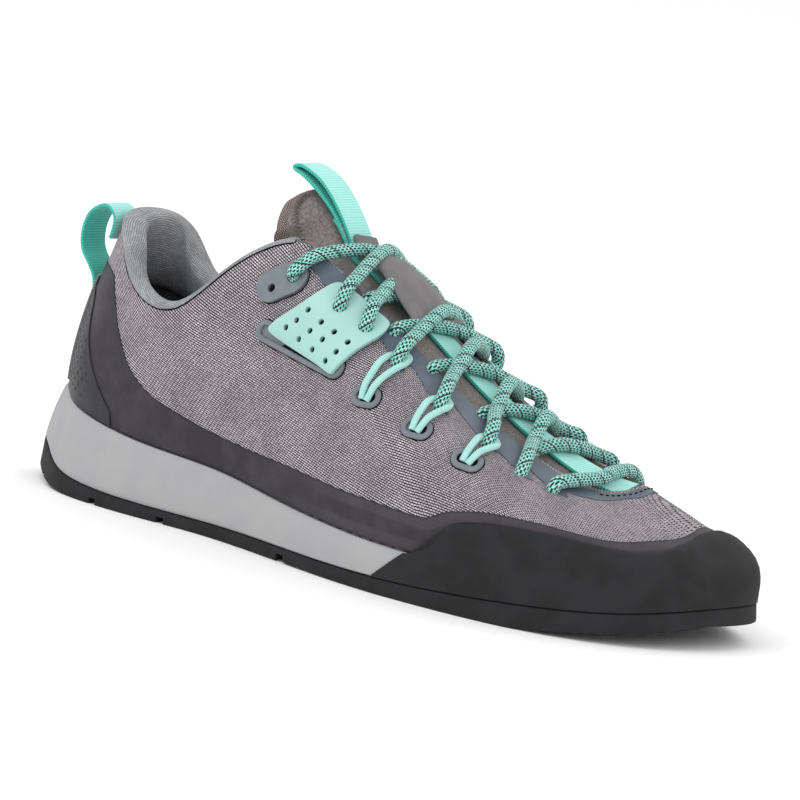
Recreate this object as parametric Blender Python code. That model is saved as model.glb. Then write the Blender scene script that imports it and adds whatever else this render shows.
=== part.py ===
"""Approach shoe for the right foot, built as a shoemaker would put it together.

Metres, +Z up, toe towards +X, the outer (lateral) side towards -Y. The shoe stands empty on its
lugs at z = 0, and the origin is under the middle of its box.

One function, `skin`, gives the outside of the upper. Its first number u runs once round the shoe:
0 at the back of the heel, 11 at the tip of the toe by way of the lateral side, and back to 22 by
way of the medial side. Its second number v climbs from the feather line (0) to the edge of the
collar and throat (1). The upper, the overlays and the tongue are all cut from that function.
"""
import math

import bmesh
import bpy
import numpy as np
from mathutils import Vector

# Driving sizes of the last and the sole
LAST_LENGTH = 0.2615
BALL_WIDTH = 0.0884
UPPER_RISE = 0.0820
HEEL_STACK = 0.0280
OUTSOLE_HEIGHT = 0.0045
TOE_SPRING = 0.0078
SOLE_FLARE = 0.0030
PROFILE_REACH = 0.0200

# Thicknesses
UPPER_WALL = 0.0018
FILM = 0.0004
COUNTER_PANEL = 0.0005
HEEL_TAPE = 0.0011
RAND = 0.0014
INSOLE = 0.0040
LUG_DEPTH = 0.0020
TONGUE = 0.0026
WEBBING = 0.0012
WEBBING_WIDTH = 0.0120
MOULDED = 0.0014
LACE_RADIUS = 0.0022
CLEARANCE = 0.0003

# Places that sizes above do not settle
COLLAR_PAD = 0.0058
COLLAR_PIPING = 0.0014
COLLAR_ROLL = 0.0022
PULL_LOOP_REACH = 0.0150
KEEPER_WIDTH = 0.0200
KEEPER_RISE = 0.0072

ROUND = 22
TOE = 11
COLUMNS_PER_ROW = 3.0
RAND_START = 6.735
RAND_TOP_START = 7.45

# The last at the feather line and the sole below it, from the heel (row 0) to the toe (row 11).
# x is a share of LAST_LENGTH, y of BALL_WIDTH, feather of HEEL_STACK, outsole of OUTSOLE_HEIGHT,
# tread of TOE_SPRING and both flares of SOLE_FLARE.
SOLE_COLUMNS = ("x", "y_lateral", "y_medial", "feather", "outsole", "tread", "flare_top", "flare_foot")
SOLE_ROWS = (
    (0.000, 0.000, 0.000, 1.16, 3.10, 0.54, 2.30, 2.30),
    (0.034, -0.160, 0.195, 1.11, 2.35, 0.28, 1.80, 2.25),
    (0.092, -0.288, 0.310, 1.00, 1.35, 0.04, 1.45, 1.85),
    (0.199, -0.340, 0.346, 0.85, 0.93, -0.05, 1.30, 1.65),
    (0.322, -0.347, 0.306, 0.77, 0.90, -0.05, 1.20, 1.40),
    (0.437, -0.413, 0.294, 0.66, 0.97, 0.05, 1.05, 1.15),
    (0.568, -0.500, 0.362, 0.57, 1.00, 0.06, 0.90, 1.10),
    (0.692, -0.520, 0.463, 0.53, 1.20, -0.05, 0.90, 1.00),
    (0.814, -0.477, 0.480, 0.55, 1.62, 0.02, 0.82, 1.10),
    (0.917, -0.347, 0.391, 0.61, 2.12, 0.40, 0.83, 1.10),
    (0.979, -0.122, 0.258, 0.68, 2.75, 0.78, 0.85, 1.10),
    (1.000, 0.120, 0.120, 0.70, 3.02, 1.00, 0.90, 1.05),
)

# The edge of the collar and throat on the same rows. z is a share of UPPER_RISE above the feather.
TOPLINE_COLUMNS = ("x", "y_lateral", "y_medial", "z_lateral", "z_medial")
TOPLINE_ROWS = (
    (0.054, 0.000, 0.000, 0.721, 0.721),
    (0.071, -0.112, 0.125, 0.695, 0.740),
    (0.105, -0.210, 0.205, 0.655, 0.705),
    (0.146, -0.270, 0.230, 0.577, 0.595),
    (0.223, -0.318, 0.262, 0.577, 0.600),
    (0.301, -0.312, 0.272, 0.822, 0.762),
    (0.380, -0.267, 0.230, 0.998, 0.900),
    (0.451, -0.252, 0.201, 0.940, 0.868),
    (0.560, -0.230, 0.196, 0.725, 0.678),
    (0.682, -0.190, 0.172, 0.472, 0.428),
    (0.805, -0.060, 0.166, 0.268, 0.290),
    (0.846, 0.084, 0.084, 0.278, 0.278),
)

# How the skin leaves the feather line and reaches the topline, as shares of PROFILE_REACH:
# outwards and up at the bottom, outwards and down at the top.
PROFILE_COLUMNS = ("out_low", "rise_low", "out_high", "drop_high")
PROFILE_LATERAL = (
    (0.01, 0.85, 0.33, 1.11),
    (0.05, 0.88, 0.24, 1.10),
    (0.17, 0.77, 0.22, 1.00),
    (0.20, 0.70, 0.18, 0.80),
    (0.20, 0.70, 0.20, 0.70),
    (0.20, 0.90, 0.30, 0.90),
    (0.20, 1.10, 0.50, 1.10),
    (0.20, 1.10, 0.81, 0.90),
    (0.20, 1.00, 0.92, 0.50),
    (0.15, 0.70, 0.80, 0.25),
    (0.09, 0.49, 0.70, 0.07),
    (0.03, 0.43, 0.58, 0.09),
)
PROFILE_MEDIAL = (
    (0.10, 0.90, 0.08, 1.10),
    (0.20, 0.80, 0.15, 1.00),
    (0.20, 0.70, 0.15, 0.80),
    (0.15, 0.70, 0.20, 0.70),
    (0.15, 0.90, 0.30, 0.88),
    (0.15, 1.07, 0.40, 1.07),
    (0.15, 1.03, 0.50, 1.00),
    (0.15, 0.93, 0.46, 0.71),
    (0.16, 0.73, 0.35, 0.62),
    (0.12, 0.75, 0.36, 0.55),
)

# Upper edge of the dark film, as v at u, on the lateral half; the medial half mirrors it
FILM_EDGE = (
    (0.0, 0.70), (1.0, 0.745), (1.9, 0.775), (2.4, 0.71), (2.75, 0.58), (2.95, 0.45), (3.25, 0.36),
    (3.75, 0.30), (4.25, 0.24), (4.75, 0.21), (5.4, 0.19), (6.0, 0.17), (7.1, 0.165), (7.45, 0.22),
    (7.9, 0.26), (8.5, 0.29), (9.2, 0.31), (9.5, 0.34), (9.95, 0.41), (10.85, 0.52), (11.0, 0.52),
)
# Upper edge of the rubber rand
RAND_EDGE = (
    (6.8, 0.10), (7.1, 0.12), (7.35, 0.165), (7.6, 0.195), (8.0, 0.225), (8.65, 0.255), (9.25, 0.26),
    (9.5, 0.27), (9.8, 0.30), (10.2, 0.39), (10.7, 0.47), (11.0, 0.48),
)
# Outer edge of the eyestay film: the v that it reaches down to, with a tab at each lace row
EYESTAY_EDGE = (
    (6.35, 0.93), (6.8, 0.89), (7.3, 0.87), (7.6, 0.84), (7.85, 0.76), (8.05, 0.83), (8.25, 0.68),
    (8.48, 0.79), (8.68, 0.62), (8.80, 0.66), (8.92, 0.53), (9.08, 0.66), (9.22, 0.53), (9.42, 0.64),
    (9.667, 0.66), (10.0, 0.80), (10.333, 0.87), (10.667, 0.87), (11.0, 0.86),
)
# The eight lace rows on the skin, counted from the ankle
LACE_ROWS = (
    (6.14, 0.86), (7.12, 0.86), (7.49, 0.86), (7.85, 0.80), (8.25, 0.72), (8.68, 0.67), (8.88, 0.59),
    (9.20, 0.59),
)
# Webbing loops: u and v of the slot in the quarter, and the lace row that each one serves
WEBBING_LOOPS = ((7.06, 0.54, 3), (7.63, 0.51, 4), (8.10, 0.47, 5))


class RoundSpline:
    """A smooth closed curve through equally spaced rows of numbers."""

    def __init__(self, rows):
        self.rows = np.array(rows, dtype=float)
        count = len(self.rows)
        bend = np.zeros((count, count))
        for row in range(count):
            bend[row, row] = 4.0
            bend[row, (row + 1) % count] += 1.0
            bend[row, (row - 1) % count] += 1.0
        jump = np.roll(self.rows, -1, 0) - 2.0 * self.rows + np.roll(self.rows, 1, 0)
        self.bends = np.linalg.solve(bend, 6.0 * jump)

    def at(self, place):
        count = len(self.rows)
        place = np.asarray(place, dtype=float) % count
        row = np.floor(place).astype(int) % count
        following = (row + 1) % count
        after = (place - np.floor(place))[..., None]
        before = 1.0 - after
        straight = before * self.rows[row] + after * self.rows[following]
        curved = (before**3 - before) * self.bends[row] + (after**3 - after) * self.bends[following]
        return straight + curved / 6.0


def both_sides(lateral, medial):
    """Rows heel to toe on the lateral side, then back to the heel on the medial side."""
    return RoundSpline(list(lateral) + list(medial)[::-1])


def sole_spline(side_column, columns, rows, scales):
    """A closed spline of one table, whose lateral and medial rows differ in one column."""
    lateral = []
    medial = []
    for row in rows:
        value = dict(zip(columns, row))
        lateral.append([value[name.format("lateral")] * scale for name, scale in scales])
        medial.append([value[name.format("medial")] * scale for name, scale in scales])
    return both_sides(lateral, medial[1:-1])


SOLE = sole_spline("y", SOLE_COLUMNS, SOLE_ROWS, (
    ("x", LAST_LENGTH), ("y_{}", BALL_WIDTH), ("feather", HEEL_STACK), ("outsole", OUTSOLE_HEIGHT),
    ("tread", TOE_SPRING), ("flare_top", SOLE_FLARE), ("flare_foot", SOLE_FLARE),
))
TOPLINE = sole_spline("y", TOPLINE_COLUMNS, TOPLINE_ROWS, (
    ("x", LAST_LENGTH), ("y_{}", BALL_WIDTH), ("z_{}", UPPER_RISE),
))
PROFILE = both_sides(
    np.array(PROFILE_LATERAL) * PROFILE_REACH,
    np.array(PROFILE_MEDIAL) * PROFILE_REACH,
)
NUDGE = 0.001


def outward(u):
    """Level direction that points away from the foot at the feather line."""
    run = SOLE.at(u + NUDGE)[..., :2] - SOLE.at(u - NUDGE)[..., :2]
    run = run / np.linalg.norm(run, axis=-1, keepdims=True)
    return np.stack([run[..., 1], -run[..., 0], np.zeros_like(run[..., 0])], axis=-1)


def feather(u):
    return SOLE.at(u)[..., :3]


def topline(u):
    edge = TOPLINE.at(u)
    lift = SOLE.at(u)[..., 2]
    return np.stack([edge[..., 0], edge[..., 1], edge[..., 2] + lift], axis=-1)


def skin(u, v):
    """Outside of the upper."""
    u, v = np.broadcast_arrays(np.asarray(u, float), np.asarray(v, float))
    foot = feather(u)
    edge = topline(u)
    away = outward(u)
    rise = np.array([0.0, 0.0, 1.0])
    shape = PROFILE.at(u)
    low = foot + away * shape[..., 0:1] + rise * shape[..., 1:2]
    high = edge + away * shape[..., 2:3] - rise * shape[..., 3:4]
    v = v[..., None]
    w = 1.0 - v
    return w**3 * foot + 3.0 * w**2 * v * low + 3.0 * w * v**2 * high + v**3 * edge


def normal(u, v):
    along = skin(np.asarray(u) + NUDGE, v) - skin(np.asarray(u) - NUDGE, v)
    climb = skin(u, np.asarray(v) + NUDGE) - skin(u, np.asarray(v) - NUDGE)
    across = np.cross(along, climb)
    return across / np.linalg.norm(across, axis=-1, keepdims=True)


def lifted(u, v, lift):
    """Point at a height above the skin, or below it where the lift is negative."""
    u, v, lift = np.broadcast_arrays(np.asarray(u, float), np.asarray(v, float), np.asarray(lift, float))
    return skin(u, v) + normal(u, v) * lift[..., None]


def edge_value(table, u):
    """Read a table of one half of the shoe at any u, mirrored on the medial half."""
    u = np.asarray(u, float) % ROUND
    half = np.where(u > TOE, ROUND - u, u)
    places, values = zip(*table)
    return np.interp(half, places, values)


def sole_point(u, spread, height):
    """Point beside the feather line, spread outwards, at an absolute height."""
    place = feather(u) + outward(u) * np.asarray(spread)[..., None]
    place[..., 2] = height
    return place


def outsole_top(u):
    return SOLE.at(u)[..., 3]


def tread_level(u):
    return np.maximum(SOLE.at(u)[..., 4], 0.0)


def middle_of_box():
    """Middle of the sole's plan, which the origin stands under."""
    u = np.linspace(0.0, ROUND, 441)
    edge = sole_point(u, SOLE.at(u)[..., 6] + CLEARANCE, 0.0)
    low = edge.min(axis=0)
    high = edge.max(axis=0)
    return (low + high) / 2.0


ORIGIN = np.append(middle_of_box()[:2], 0.0)


def clear_scene():
    for old in list(bpy.data.objects):
        bpy.data.objects.remove(old, do_unlink=True)


def material(name, colour, roughness, metallic=0.0):
    made = bpy.data.materials.new(name)
    made.use_nodes = True
    shader = made.node_tree.nodes["Principled BSDF"]
    shader.inputs["Base Color"].default_value = (*colour, 1.0)
    shader.inputs["Roughness"].default_value = roughness
    shader.inputs["Metallic"].default_value = metallic
    return made


def add_object(name, mesh_data, finish):
    """Close up a bmesh, point its faces outwards and link it as an object."""
    bmesh.ops.remove_doubles(mesh_data, verts=mesh_data.verts, dist=1e-6)
    bmesh.ops.recalc_face_normals(mesh_data, faces=mesh_data.faces)
    bmesh.ops.translate(mesh_data, verts=mesh_data.verts, vec=Vector(-ORIGIN))
    mesh = bpy.data.meshes.new(name)
    mesh_data.to_mesh(mesh)
    mesh_data.free()
    mesh.materials.append(finish)
    mesh.shade_smooth()
    mesh.set_sharp_from_angle(angle=math.radians(40.0))
    made = bpy.data.objects.new(name, mesh)
    bpy.context.scene.collection.objects.link(made)
    return made


def add_grid(mesh_data, grid, wrap=False):
    """Faces over a grid of points; wrap joins the last column to the first."""
    made = [[mesh_data.verts.new(point) for point in row] for row in grid]
    columns = len(made[0])
    last = columns if wrap else columns - 1
    faces = []
    for row in range(len(made) - 1):
        for column in range(last):
            beside = (column + 1) % columns
            corners = (made[row][column], made[row][beside], made[row + 1][beside], made[row + 1][column])
            faces.append(mesh_data.faces.new(corners))
    return faces


def add_wall(mesh_data, outer, inner, wrap=False):
    """Closed wall between two grids of points of the same layout."""
    add_grid(mesh_data, outer, wrap)
    add_grid(mesh_data, inner, wrap)
    add_grid(mesh_data, np.array([outer[0], inner[0]]), wrap)
    add_grid(mesh_data, np.array([outer[-1], inner[-1]]), wrap)
    if not wrap:
        add_grid(mesh_data, np.array([outer[:, 0], inner[:, 0]]))
        add_grid(mesh_data, np.array([outer[:, -1], inner[:, -1]]))


def wall(name, finish, outer, inner, wrap=False):
    mesh_data = bmesh.new()
    add_wall(mesh_data, np.array(outer), np.array(inner), wrap)
    return add_object(name, mesh_data, finish)


def overlay(name, finish, columns, low, high, lift, thickness, rows=4, wrap=False):
    """A sheet on the skin between two edges, given as v for each column."""
    outer = []
    inner = []
    for share in np.linspace(0.0, 1.0, rows):
        v = low + (high - low) * share
        outer.append(lifted(columns, v, lift + thickness))
        inner.append(lifted(columns, v, lift))
    return wall(name, finish, outer, inner, wrap)


# Stations from heel to toe, close together at both ends, with the step behind the rand
STATIONS = np.array([
    0.0, 0.3, 0.65, 1.0, 1.35, 1.7, 2.1, 2.5, 3.0, 3.5, 4.0, 4.5, 5.0, 5.5, 6.0, 6.4, 6.715, 6.725,
    7.1, 7.5, 8.0, 8.4, 8.8, 9.2, 9.6, 10.0, 10.35, 10.7, 11.0,
])
ACROSS = np.array([0.0, 0.5, 1.0])


def slanted(stations, height):
    """The rand's back edge leans forward as it climbs, so the stations near it lean too."""
    lean = -0.27 + 0.35 * height
    near = np.clip(1.0 - np.abs(stations - 6.72) / 1.2, 0.0, 1.0)
    return stations + lean * near


def sole_slab(name, finish, rings):
    """Solid through stacked outlines, each a function of u and stations, closed top and bottom."""
    mesh_data = bmesh.new()
    loops = [(ring(places), ring(ROUND - places)) for ring, places in rings]
    for lateral, medial in (loops[0], loops[-1]):
        grid = [lateral + (medial - lateral) * share for share in ACROSS]
        add_grid(mesh_data, np.array(grid))
    for side in (0, 1):
        add_grid(mesh_data, np.array([loop[side] for loop in loops]))
    return mesh_data


def midsole_spread(u, share):
    """How far the midsole stands out from the feather line, share 0 at its foot and 1 at its rim."""
    half = np.where(u > TOE, ROUND - u, u)
    foot = SOLE.at(u)[..., 5]
    rim = 0.5 * SOLE_FLARE
    bulge = 0.8 * SOLE_FLARE * share * (1.0 - share)
    spread = foot + (rim - foot) * share + bulge
    # slanted() moves the step with the height, so it is found from the unslanted station
    return spread, half


def make_midsole(finish):
    rings = []
    for share in (0.0, 0.33, 0.67, 1.0):
        exposed = STATIONS < 6.72

        def ring(u, share=share, exposed=exposed):
            spread, _ = midsole_spread(u, share)
            spread = np.where(exposed, spread, 0.0)
            foot = outsole_top(u) + CLEARANCE
            rim = feather(u)[..., 2] - CLEARANCE
            return sole_point(u, spread, foot + (rim - foot) * share)

        rings.append((ring, slanted(STATIONS, share)))
    return add_object("midsole", sole_slab("midsole", finish, rings), finish)


# The tread: a solid block under the heel and the toe, rows of lugs between them
HEEL_BLOCK = (0.0, 0.3, 0.65, 1.0, 1.2, 1.3)
LUG_PITCH = 0.45
LUG_SHARE = 0.78
LUG_ROWS = 18
TOE_BLOCK = (9.7, 10.0, 10.35, 10.7, 11.0)
LANES = np.array([0.0, 0.15, 0.19, 0.48, 0.52, 0.81, 0.85, 1.0])
EDGE_NOTCHES = (2, 4, 8)
ARCH = (5.3, 6.3)


def tread_stations():
    rows = list(HEEL_BLOCK)
    for row in range(LUG_ROWS):
        start = HEEL_BLOCK[-1] + row * LUG_PITCH
        rows += [start + LUG_SHARE * LUG_PITCH, start + LUG_PITCH]
    return np.array(rows + list(TOE_BLOCK))


def is_lug(cell, lane):
    """True where the tread stands down to the ground."""
    heel_cells = len(HEEL_BLOCK) - 1
    if cell < heel_cells - 1 or cell >= heel_cells + 2 * LUG_ROWS:
        return True
    if cell == heel_cells - 1:
        return False
    row, groove = divmod(cell - heel_cells, 2)
    if lane in (0, len(LANES) - 2):
        return not (groove and row in EDGE_NOTCHES)
    start = HEEL_BLOCK[-1] + row * LUG_PITCH
    under_arch = ARCH[0] < start < ARCH[1]
    last_row = row == LUG_ROWS - 1
    return not groove and lane % 2 == 0 and not under_arch and not last_row


def make_outsole(finish):
    mesh_data = bmesh.new()
    stations = tread_stations()

    def top(u):
        return sole_point(u, SOLE.at(u)[..., 5], outsole_top(u))

    def base(u):
        half = np.where(u > TOE, ROUND - u, u)
        depth = np.clip((11.4 - half) / 1.5, 0.25, 1.0) * np.clip((half + 0.6) / 1.2, 0.5, 1.0)
        return sole_point(u, SOLE.at(u)[..., 6], tread_level(u) + LUG_DEPTH * depth)

    lateral = top(stations)
    medial = top(ROUND - stations)
    add_grid(mesh_data, np.array([lateral, (lateral + medial) / 2.0, medial]))
    low_lateral = base(stations)
    low_medial = base(ROUND - stations)
    rows = np.array([low_lateral + (low_medial - low_lateral) * share for share in LANES])
    bottom = add_grid(mesh_data, rows)
    add_grid(mesh_data, np.array([lateral, low_lateral]))
    add_grid(mesh_data, np.array([medial, low_medial]))
    columns = len(stations) - 1
    lugs = [face for index, face in enumerate(bottom) if is_lug(index % columns, index // columns)]
    bmesh.ops.remove_doubles(mesh_data, verts=mesh_data.verts, dist=1e-6)
    lugs = [face for face in lugs if face.is_valid]
    bmesh.ops.recalc_face_normals(mesh_data, faces=mesh_data.faces)
    pulled = bmesh.ops.extrude_face_region(mesh_data, geom=lugs)
    bmesh.ops.delete(mesh_data, geom=lugs, context="FACES_ONLY")
    for vert in (item for item in pulled["geom"] if isinstance(item, bmesh.types.BMVert)):
        vert.co.z = ground_under(vert.co.x)
    return add_object("outsole", mesh_data, finish)


GROUND_STATIONS = np.linspace(0.0, TOE, 221)
GROUND_X = feather(GROUND_STATIONS)[..., 0]
GROUND_Z = tread_level(GROUND_STATIONS)


def ground_under(x):
    """Level of the tread at a distance from the heel: flat but for the heel bevel and toe spring."""
    return float(np.interp(x, GROUND_X, GROUND_Z))


def make_insole(finish):
    inset = -(UPPER_WALL + 2.0 * CLEARANCE)

    def bottom(u):
        return sole_point(u, inset, feather(u)[..., 2])

    def top(u):
        half = np.where(u > TOE, ROUND - u, u)
        tuck = -0.6 * INSOLE * np.clip((half - 8.0) / 1.5, 0.0, 1.0)
        return sole_point(u, inset + tuck, feather(u)[..., 2] + INSOLE)

    rings = [(bottom, STATIONS), (top, STATIONS)]
    return add_object("insole", sole_slab("insole", finish, rings), finish)


def make_upper(finish):
    columns = np.arange(0.0, ROUND, 1.0 / COLUMNS_PER_ROW)
    heights = (0.0, 0.14, 0.32, 0.52, 0.7, 0.86, 1.0)
    outer = [lifted(columns, v, 0.0) for v in heights]
    inner = [lifted(columns, v, -UPPER_WALL) for v in heights]
    return wall("upper", finish, outer, inner, wrap=True)


FILM_LIFT = 1.5 * CLEARANCE
FILM_TOP = FILM_LIFT + FILM


def make_film(finish):
    columns = np.sort(np.append(np.arange(0.0, ROUND, 1.0 / COLUMNS_PER_ROW), (2.83, ROUND - 2.83)))
    high = edge_value(FILM_EDGE, columns)
    low = np.full_like(columns, 0.004)
    return overlay("foxing_film", finish, columns, low, high, FILM_LIFT, FILM, rows=5, wrap=True)


def make_counter(finish):
    columns = np.linspace(-2.6, 2.6, 15)
    half = np.abs(columns)
    low = np.full_like(columns, 0.012)
    high = 0.62 - 0.50 * (half / 2.6) ** 3
    return overlay("heel_counter", finish, columns, low, high, FILM_TOP + 1.5 * CLEARANCE, COUNTER_PANEL)


def make_heel_tape(finish):
    """The padded strip up the back of the heel, over the counter panel and the film."""
    columns = np.linspace(-0.42, 0.42, 5)
    low = np.full_like(columns, 0.012)
    high = np.full_like(columns, 0.66)
    lift = FILM_TOP + COUNTER_PANEL + 2.5 * CLEARANCE
    return overlay("heel_tape", finish, columns, low, high, lift, HEEL_TAPE, rows=5)


def make_rand(finish):
    """Rubber rand round the forefoot: it stands on the outsole and laps up over the film."""
    stations = np.append((RAND_START, 6.95, 7.2, 7.5, 7.9), np.arange(25, 34) / COLUMNS_PER_ROW)
    inside = FILM_TOP + 2.0 * CLEARANCE
    outer = []
    inner = []
    for share in (0.0, 0.5, 1.0):
        lateral = slanted(stations, share)
        u = np.append(lateral, ROUND - lateral[-2::-1])
        foot = outsole_top(u) + CLEARANCE
        rim = feather(u)[..., 2]
        height = foot + (rim - foot) * share
        skirt = SOLE.at(u)[..., 5]
        proud = inside + RAND
        spread = skirt + (proud - skirt) * share
        under = CLEARANCE + (inside - CLEARANCE) * (share > 0.9)
        outer.append(sole_point(u, spread + 0.08 * SOLE_FLARE, height))
        inner.append(sole_point(u, np.full_like(u, under), height))
    for share in (0.35, 0.7, 1.0):
        start = RAND_START + 0.08 + (RAND_TOP_START - RAND_START - 0.08) * share
        fade = np.clip((8.8 - stations) / (8.8 - RAND_START), 0.0, 1.0)
        lateral = stations + (start - RAND_START) * fade
        u = np.append(lateral, ROUND - lateral[-2::-1])
        v = edge_value(RAND_EDGE, u) * share
        thin = 0.35 * RAND * (share > 0.9)
        outer.append(lifted(u, v, inside + RAND - thin))
        inner.append(lifted(u, v, inside))
    return wall("rand", finish, outer, inner)


def make_collar(finish):
    """Padded lining: against the wall inside, over the top edge in a soft roll."""
    u = np.arange(-18, 19) / COLUMNS_PER_ROW
    half = np.abs(u)
    pad = np.clip((5.2 - half) / 2.6, 0.0, 1.0)
    pad = pad * pad * (3.0 - 2.0 * pad)
    thick = COLLAR_PIPING + (COLLAR_PAD - COLLAR_PIPING) * pad
    back = UPPER_WALL + 2.0 * CLEARANCE
    climb = lifted(u, 1.0, 0.0) - lifted(u, 0.99, 0.0)
    climb = climb / np.linalg.norm(climb, axis=-1, keepdims=True)
    face = normal(u, 1.0)
    edge = skin(u, 1.0)

    def over_edge(height, depth):
        return edge + climb * np.asarray(height)[..., None] - face * np.asarray(depth)[..., None]

    low = 0.64
    heights = (low, 0.8, 0.95)
    swell = (0.45, 0.9, 1.0)
    inner = [lifted(u, v, -back) for v in heights]
    outer = [lifted(u, v, -(back + thick * share)) for v, share in zip(heights, swell)]
    roll = COLLAR_ROLL * (0.45 + 0.55 * pad)
    gap = np.full_like(u, CLEARANCE)
    inner.append(over_edge(gap, np.full_like(u, back)))
    outer.append(over_edge(roll * 0.5, back + 0.9 * thick))
    inner.append(over_edge(gap, np.full_like(u, 0.6 * UPPER_WALL)))
    outer.append(over_edge(roll, 0.5 * (back + thick)))
    inner.append(over_edge(gap, np.zeros_like(u)))
    outer.append(over_edge(roll * 0.7, np.zeros_like(u)))
    return wall("collar", finish, outer, inner)


def eyestay_columns():
    half = [place for place, _ in EYESTAY_EDGE]
    return np.array(half + [ROUND - place for place in half[-2::-1]])


def make_eyestay(finish):
    """The smooth film round the throat, with a tab at each lace row."""
    u = eyestay_columns()
    low = edge_value(EYESTAY_EDGE, u)
    high = np.full_like(u, 0.995)
    return overlay("eyestay", finish, u, low, high, 2.0 * CLEARANCE, FILM, rows=4)


def on_skin(centre, flat, lift, side):
    """Points given in metres on the plane that touches the skin at centre, dropped on to it.

    flat holds pairs: forward along the shoe and up the side. side is 1 on the lateral half and
    -1 on the medial half, where u is counted backwards.
    """
    u0, v0 = centre
    u0 = u0 if side > 0 else ROUND - u0
    flat = np.asarray(flat, float)
    start = skin(u0, v0)
    across = normal(u0, v0)
    forward = np.array([1.0, 0.0, 0.0]) - across * across[0]
    forward = forward / np.linalg.norm(forward)
    climb = np.cross(across, forward) * side
    target = start + flat[:, :1] * forward + flat[:, 1:2] * climb
    u = np.full(len(flat), float(u0))
    v = np.full(len(flat), float(v0))
    for _ in range(12):
        here = skin(u, v)
        along_u = (skin(u + NUDGE, v) - skin(u - NUDGE, v)) / (2.0 * NUDGE)
        along_v = (skin(u, v + NUDGE) - skin(u, v - NUDGE)) / (2.0 * NUDGE)
        miss = target - here
        a = along_u @ forward
        b = along_v @ forward
        c = along_u @ climb
        d = along_v @ climb
        p = miss @ forward
        q = miss @ climb
        spread = a * d - b * c
        u = u + (d * p - b * q) / spread
        v = v + (a * q - c * p) / spread
    return lifted(u, v, lift)


def turned(points, angle):
    """Turn flat points, positive tipping their front end up the side."""
    cosine = math.cos(math.radians(angle))
    sine = math.sin(math.radians(angle))
    points = np.asarray(points)
    return np.stack([
        points[:, 0] * cosine - points[:, 1] * sine,
        points[:, 0] * sine + points[:, 1] * cosine,
    ], axis=1)


def stadium(length, width, steps=4, along=1):
    """Outline of a bar with round ends and straight runs in so many steps."""
    reach = (length - width) / 2.0
    points = []
    for way, start in ((1.0, -90.0), (-1.0, 90.0)):
        for step in range(steps + 1):
            angle = math.radians(start + 180.0 * step / steps)
            points.append((way * reach + math.cos(angle) * width / 2.0, math.sin(angle) * width / 2.0))
        for step in range(1, along):
            points.append((way * reach * (1.0 - 2.0 * step / along), way * width / 2.0))
    return np.array(points)


def skin_ring(name, finish, centre, side, outline, hole, angle, lift, thickness):
    """A flat moulded ring that lies on the skin."""
    rings = [turned(outline, angle), turned(hole, angle)]
    outer = [on_skin(centre, ring, lift + thickness, side) for ring in rings]
    inner = [on_skin(centre, ring, lift, side) for ring in rings]
    return wall(name, finish, outer, inner, wrap=True)


def skin_plate(name, finish, centre, side, outline, angle, lift, thickness):
    """A solid moulded plate that lies on the skin, a fan of rings to its middle."""
    mesh_data = bmesh.new()
    outline = turned(outline, angle)
    middle = outline.mean(axis=0)
    rings = [middle + (outline - middle) * share for share in (1.0, 0.5)]
    for height in (lift, lift + thickness):
        spun = [on_skin(centre, ring, height, side) for ring in rings]
        add_grid(mesh_data, np.array(spun), wrap=True)
        hub = mesh_data.verts.new(on_skin(centre, [middle], height, side)[0])
        rim = [mesh_data.verts.new(point) for point in spun[1]]
        for index, vert in enumerate(rim):
            mesh_data.faces.new((vert, rim[(index + 1) % len(rim)], hub))
    edge = [on_skin(centre, outline, height, side) for height in (lift, lift + thickness)]
    add_grid(mesh_data, np.array(edge), wrap=True)
    return add_object(name, mesh_data, finish)


SIDES = (("lateral", 1), ("medial", -1))
PLATE_SIZE = (0.0190, 0.0110)
PLATE_CENTRE = (5.91, 0.835)
WING_FRAME_SIZE = (0.0400, 0.0072)
WING_FRAME_CENTRE = (6.06, 0.61)
LOOP_FRAME_SIZE = (0.0105, 0.0070)


def make_lace_plates(finish):
    for label, side in SIDES:
        length, width = PLATE_SIZE
        skin_plate(
            "lace_plate_" + label, finish, PLATE_CENTRE, side, stadium(length, width), 30.0,
            FILM_TOP + CLEARANCE, MOULDED,
        )


def wing_outline():
    """The moulded wing: straight where it leaves its slot, with two round corners at the laces."""
    return np.array([
        (-0.0178, -0.0064), (-0.0080, -0.0097), (0.0018, -0.0130), (0.0115, -0.0162),
        (0.0142, -0.0100), (0.0170, -0.0037), (0.0196, 0.0022), (0.0193, 0.0056), (0.0168, 0.0076),
        (0.0110, 0.0100), (0.0052, 0.0122), (0.0022, 0.0122), (-0.0003, 0.0105), (-0.0060, 0.0050),
        (-0.0120, -0.0008),
    ])


WING_CENTRE = (6.62, 0.75)


def make_wings(wing_finish, frame_finish):
    for label, side in SIDES:
        length, width = WING_FRAME_SIZE
        rim = 0.0020
        skin_ring(
            "wing_frame_" + label, frame_finish, WING_FRAME_CENTRE, side, stadium(length, width, along=5),
            stadium(length - 2.0 * rim, width - 2.0 * rim, along=5), -11.0, CLEARANCE, MOULDED,
        )
        skin_plate(
            "lace_wing_" + label, wing_finish, WING_CENTRE, side, wing_outline(), 0.0,
            MOULDED + 3.0 * CLEARANCE, MOULDED,
        )


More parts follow.
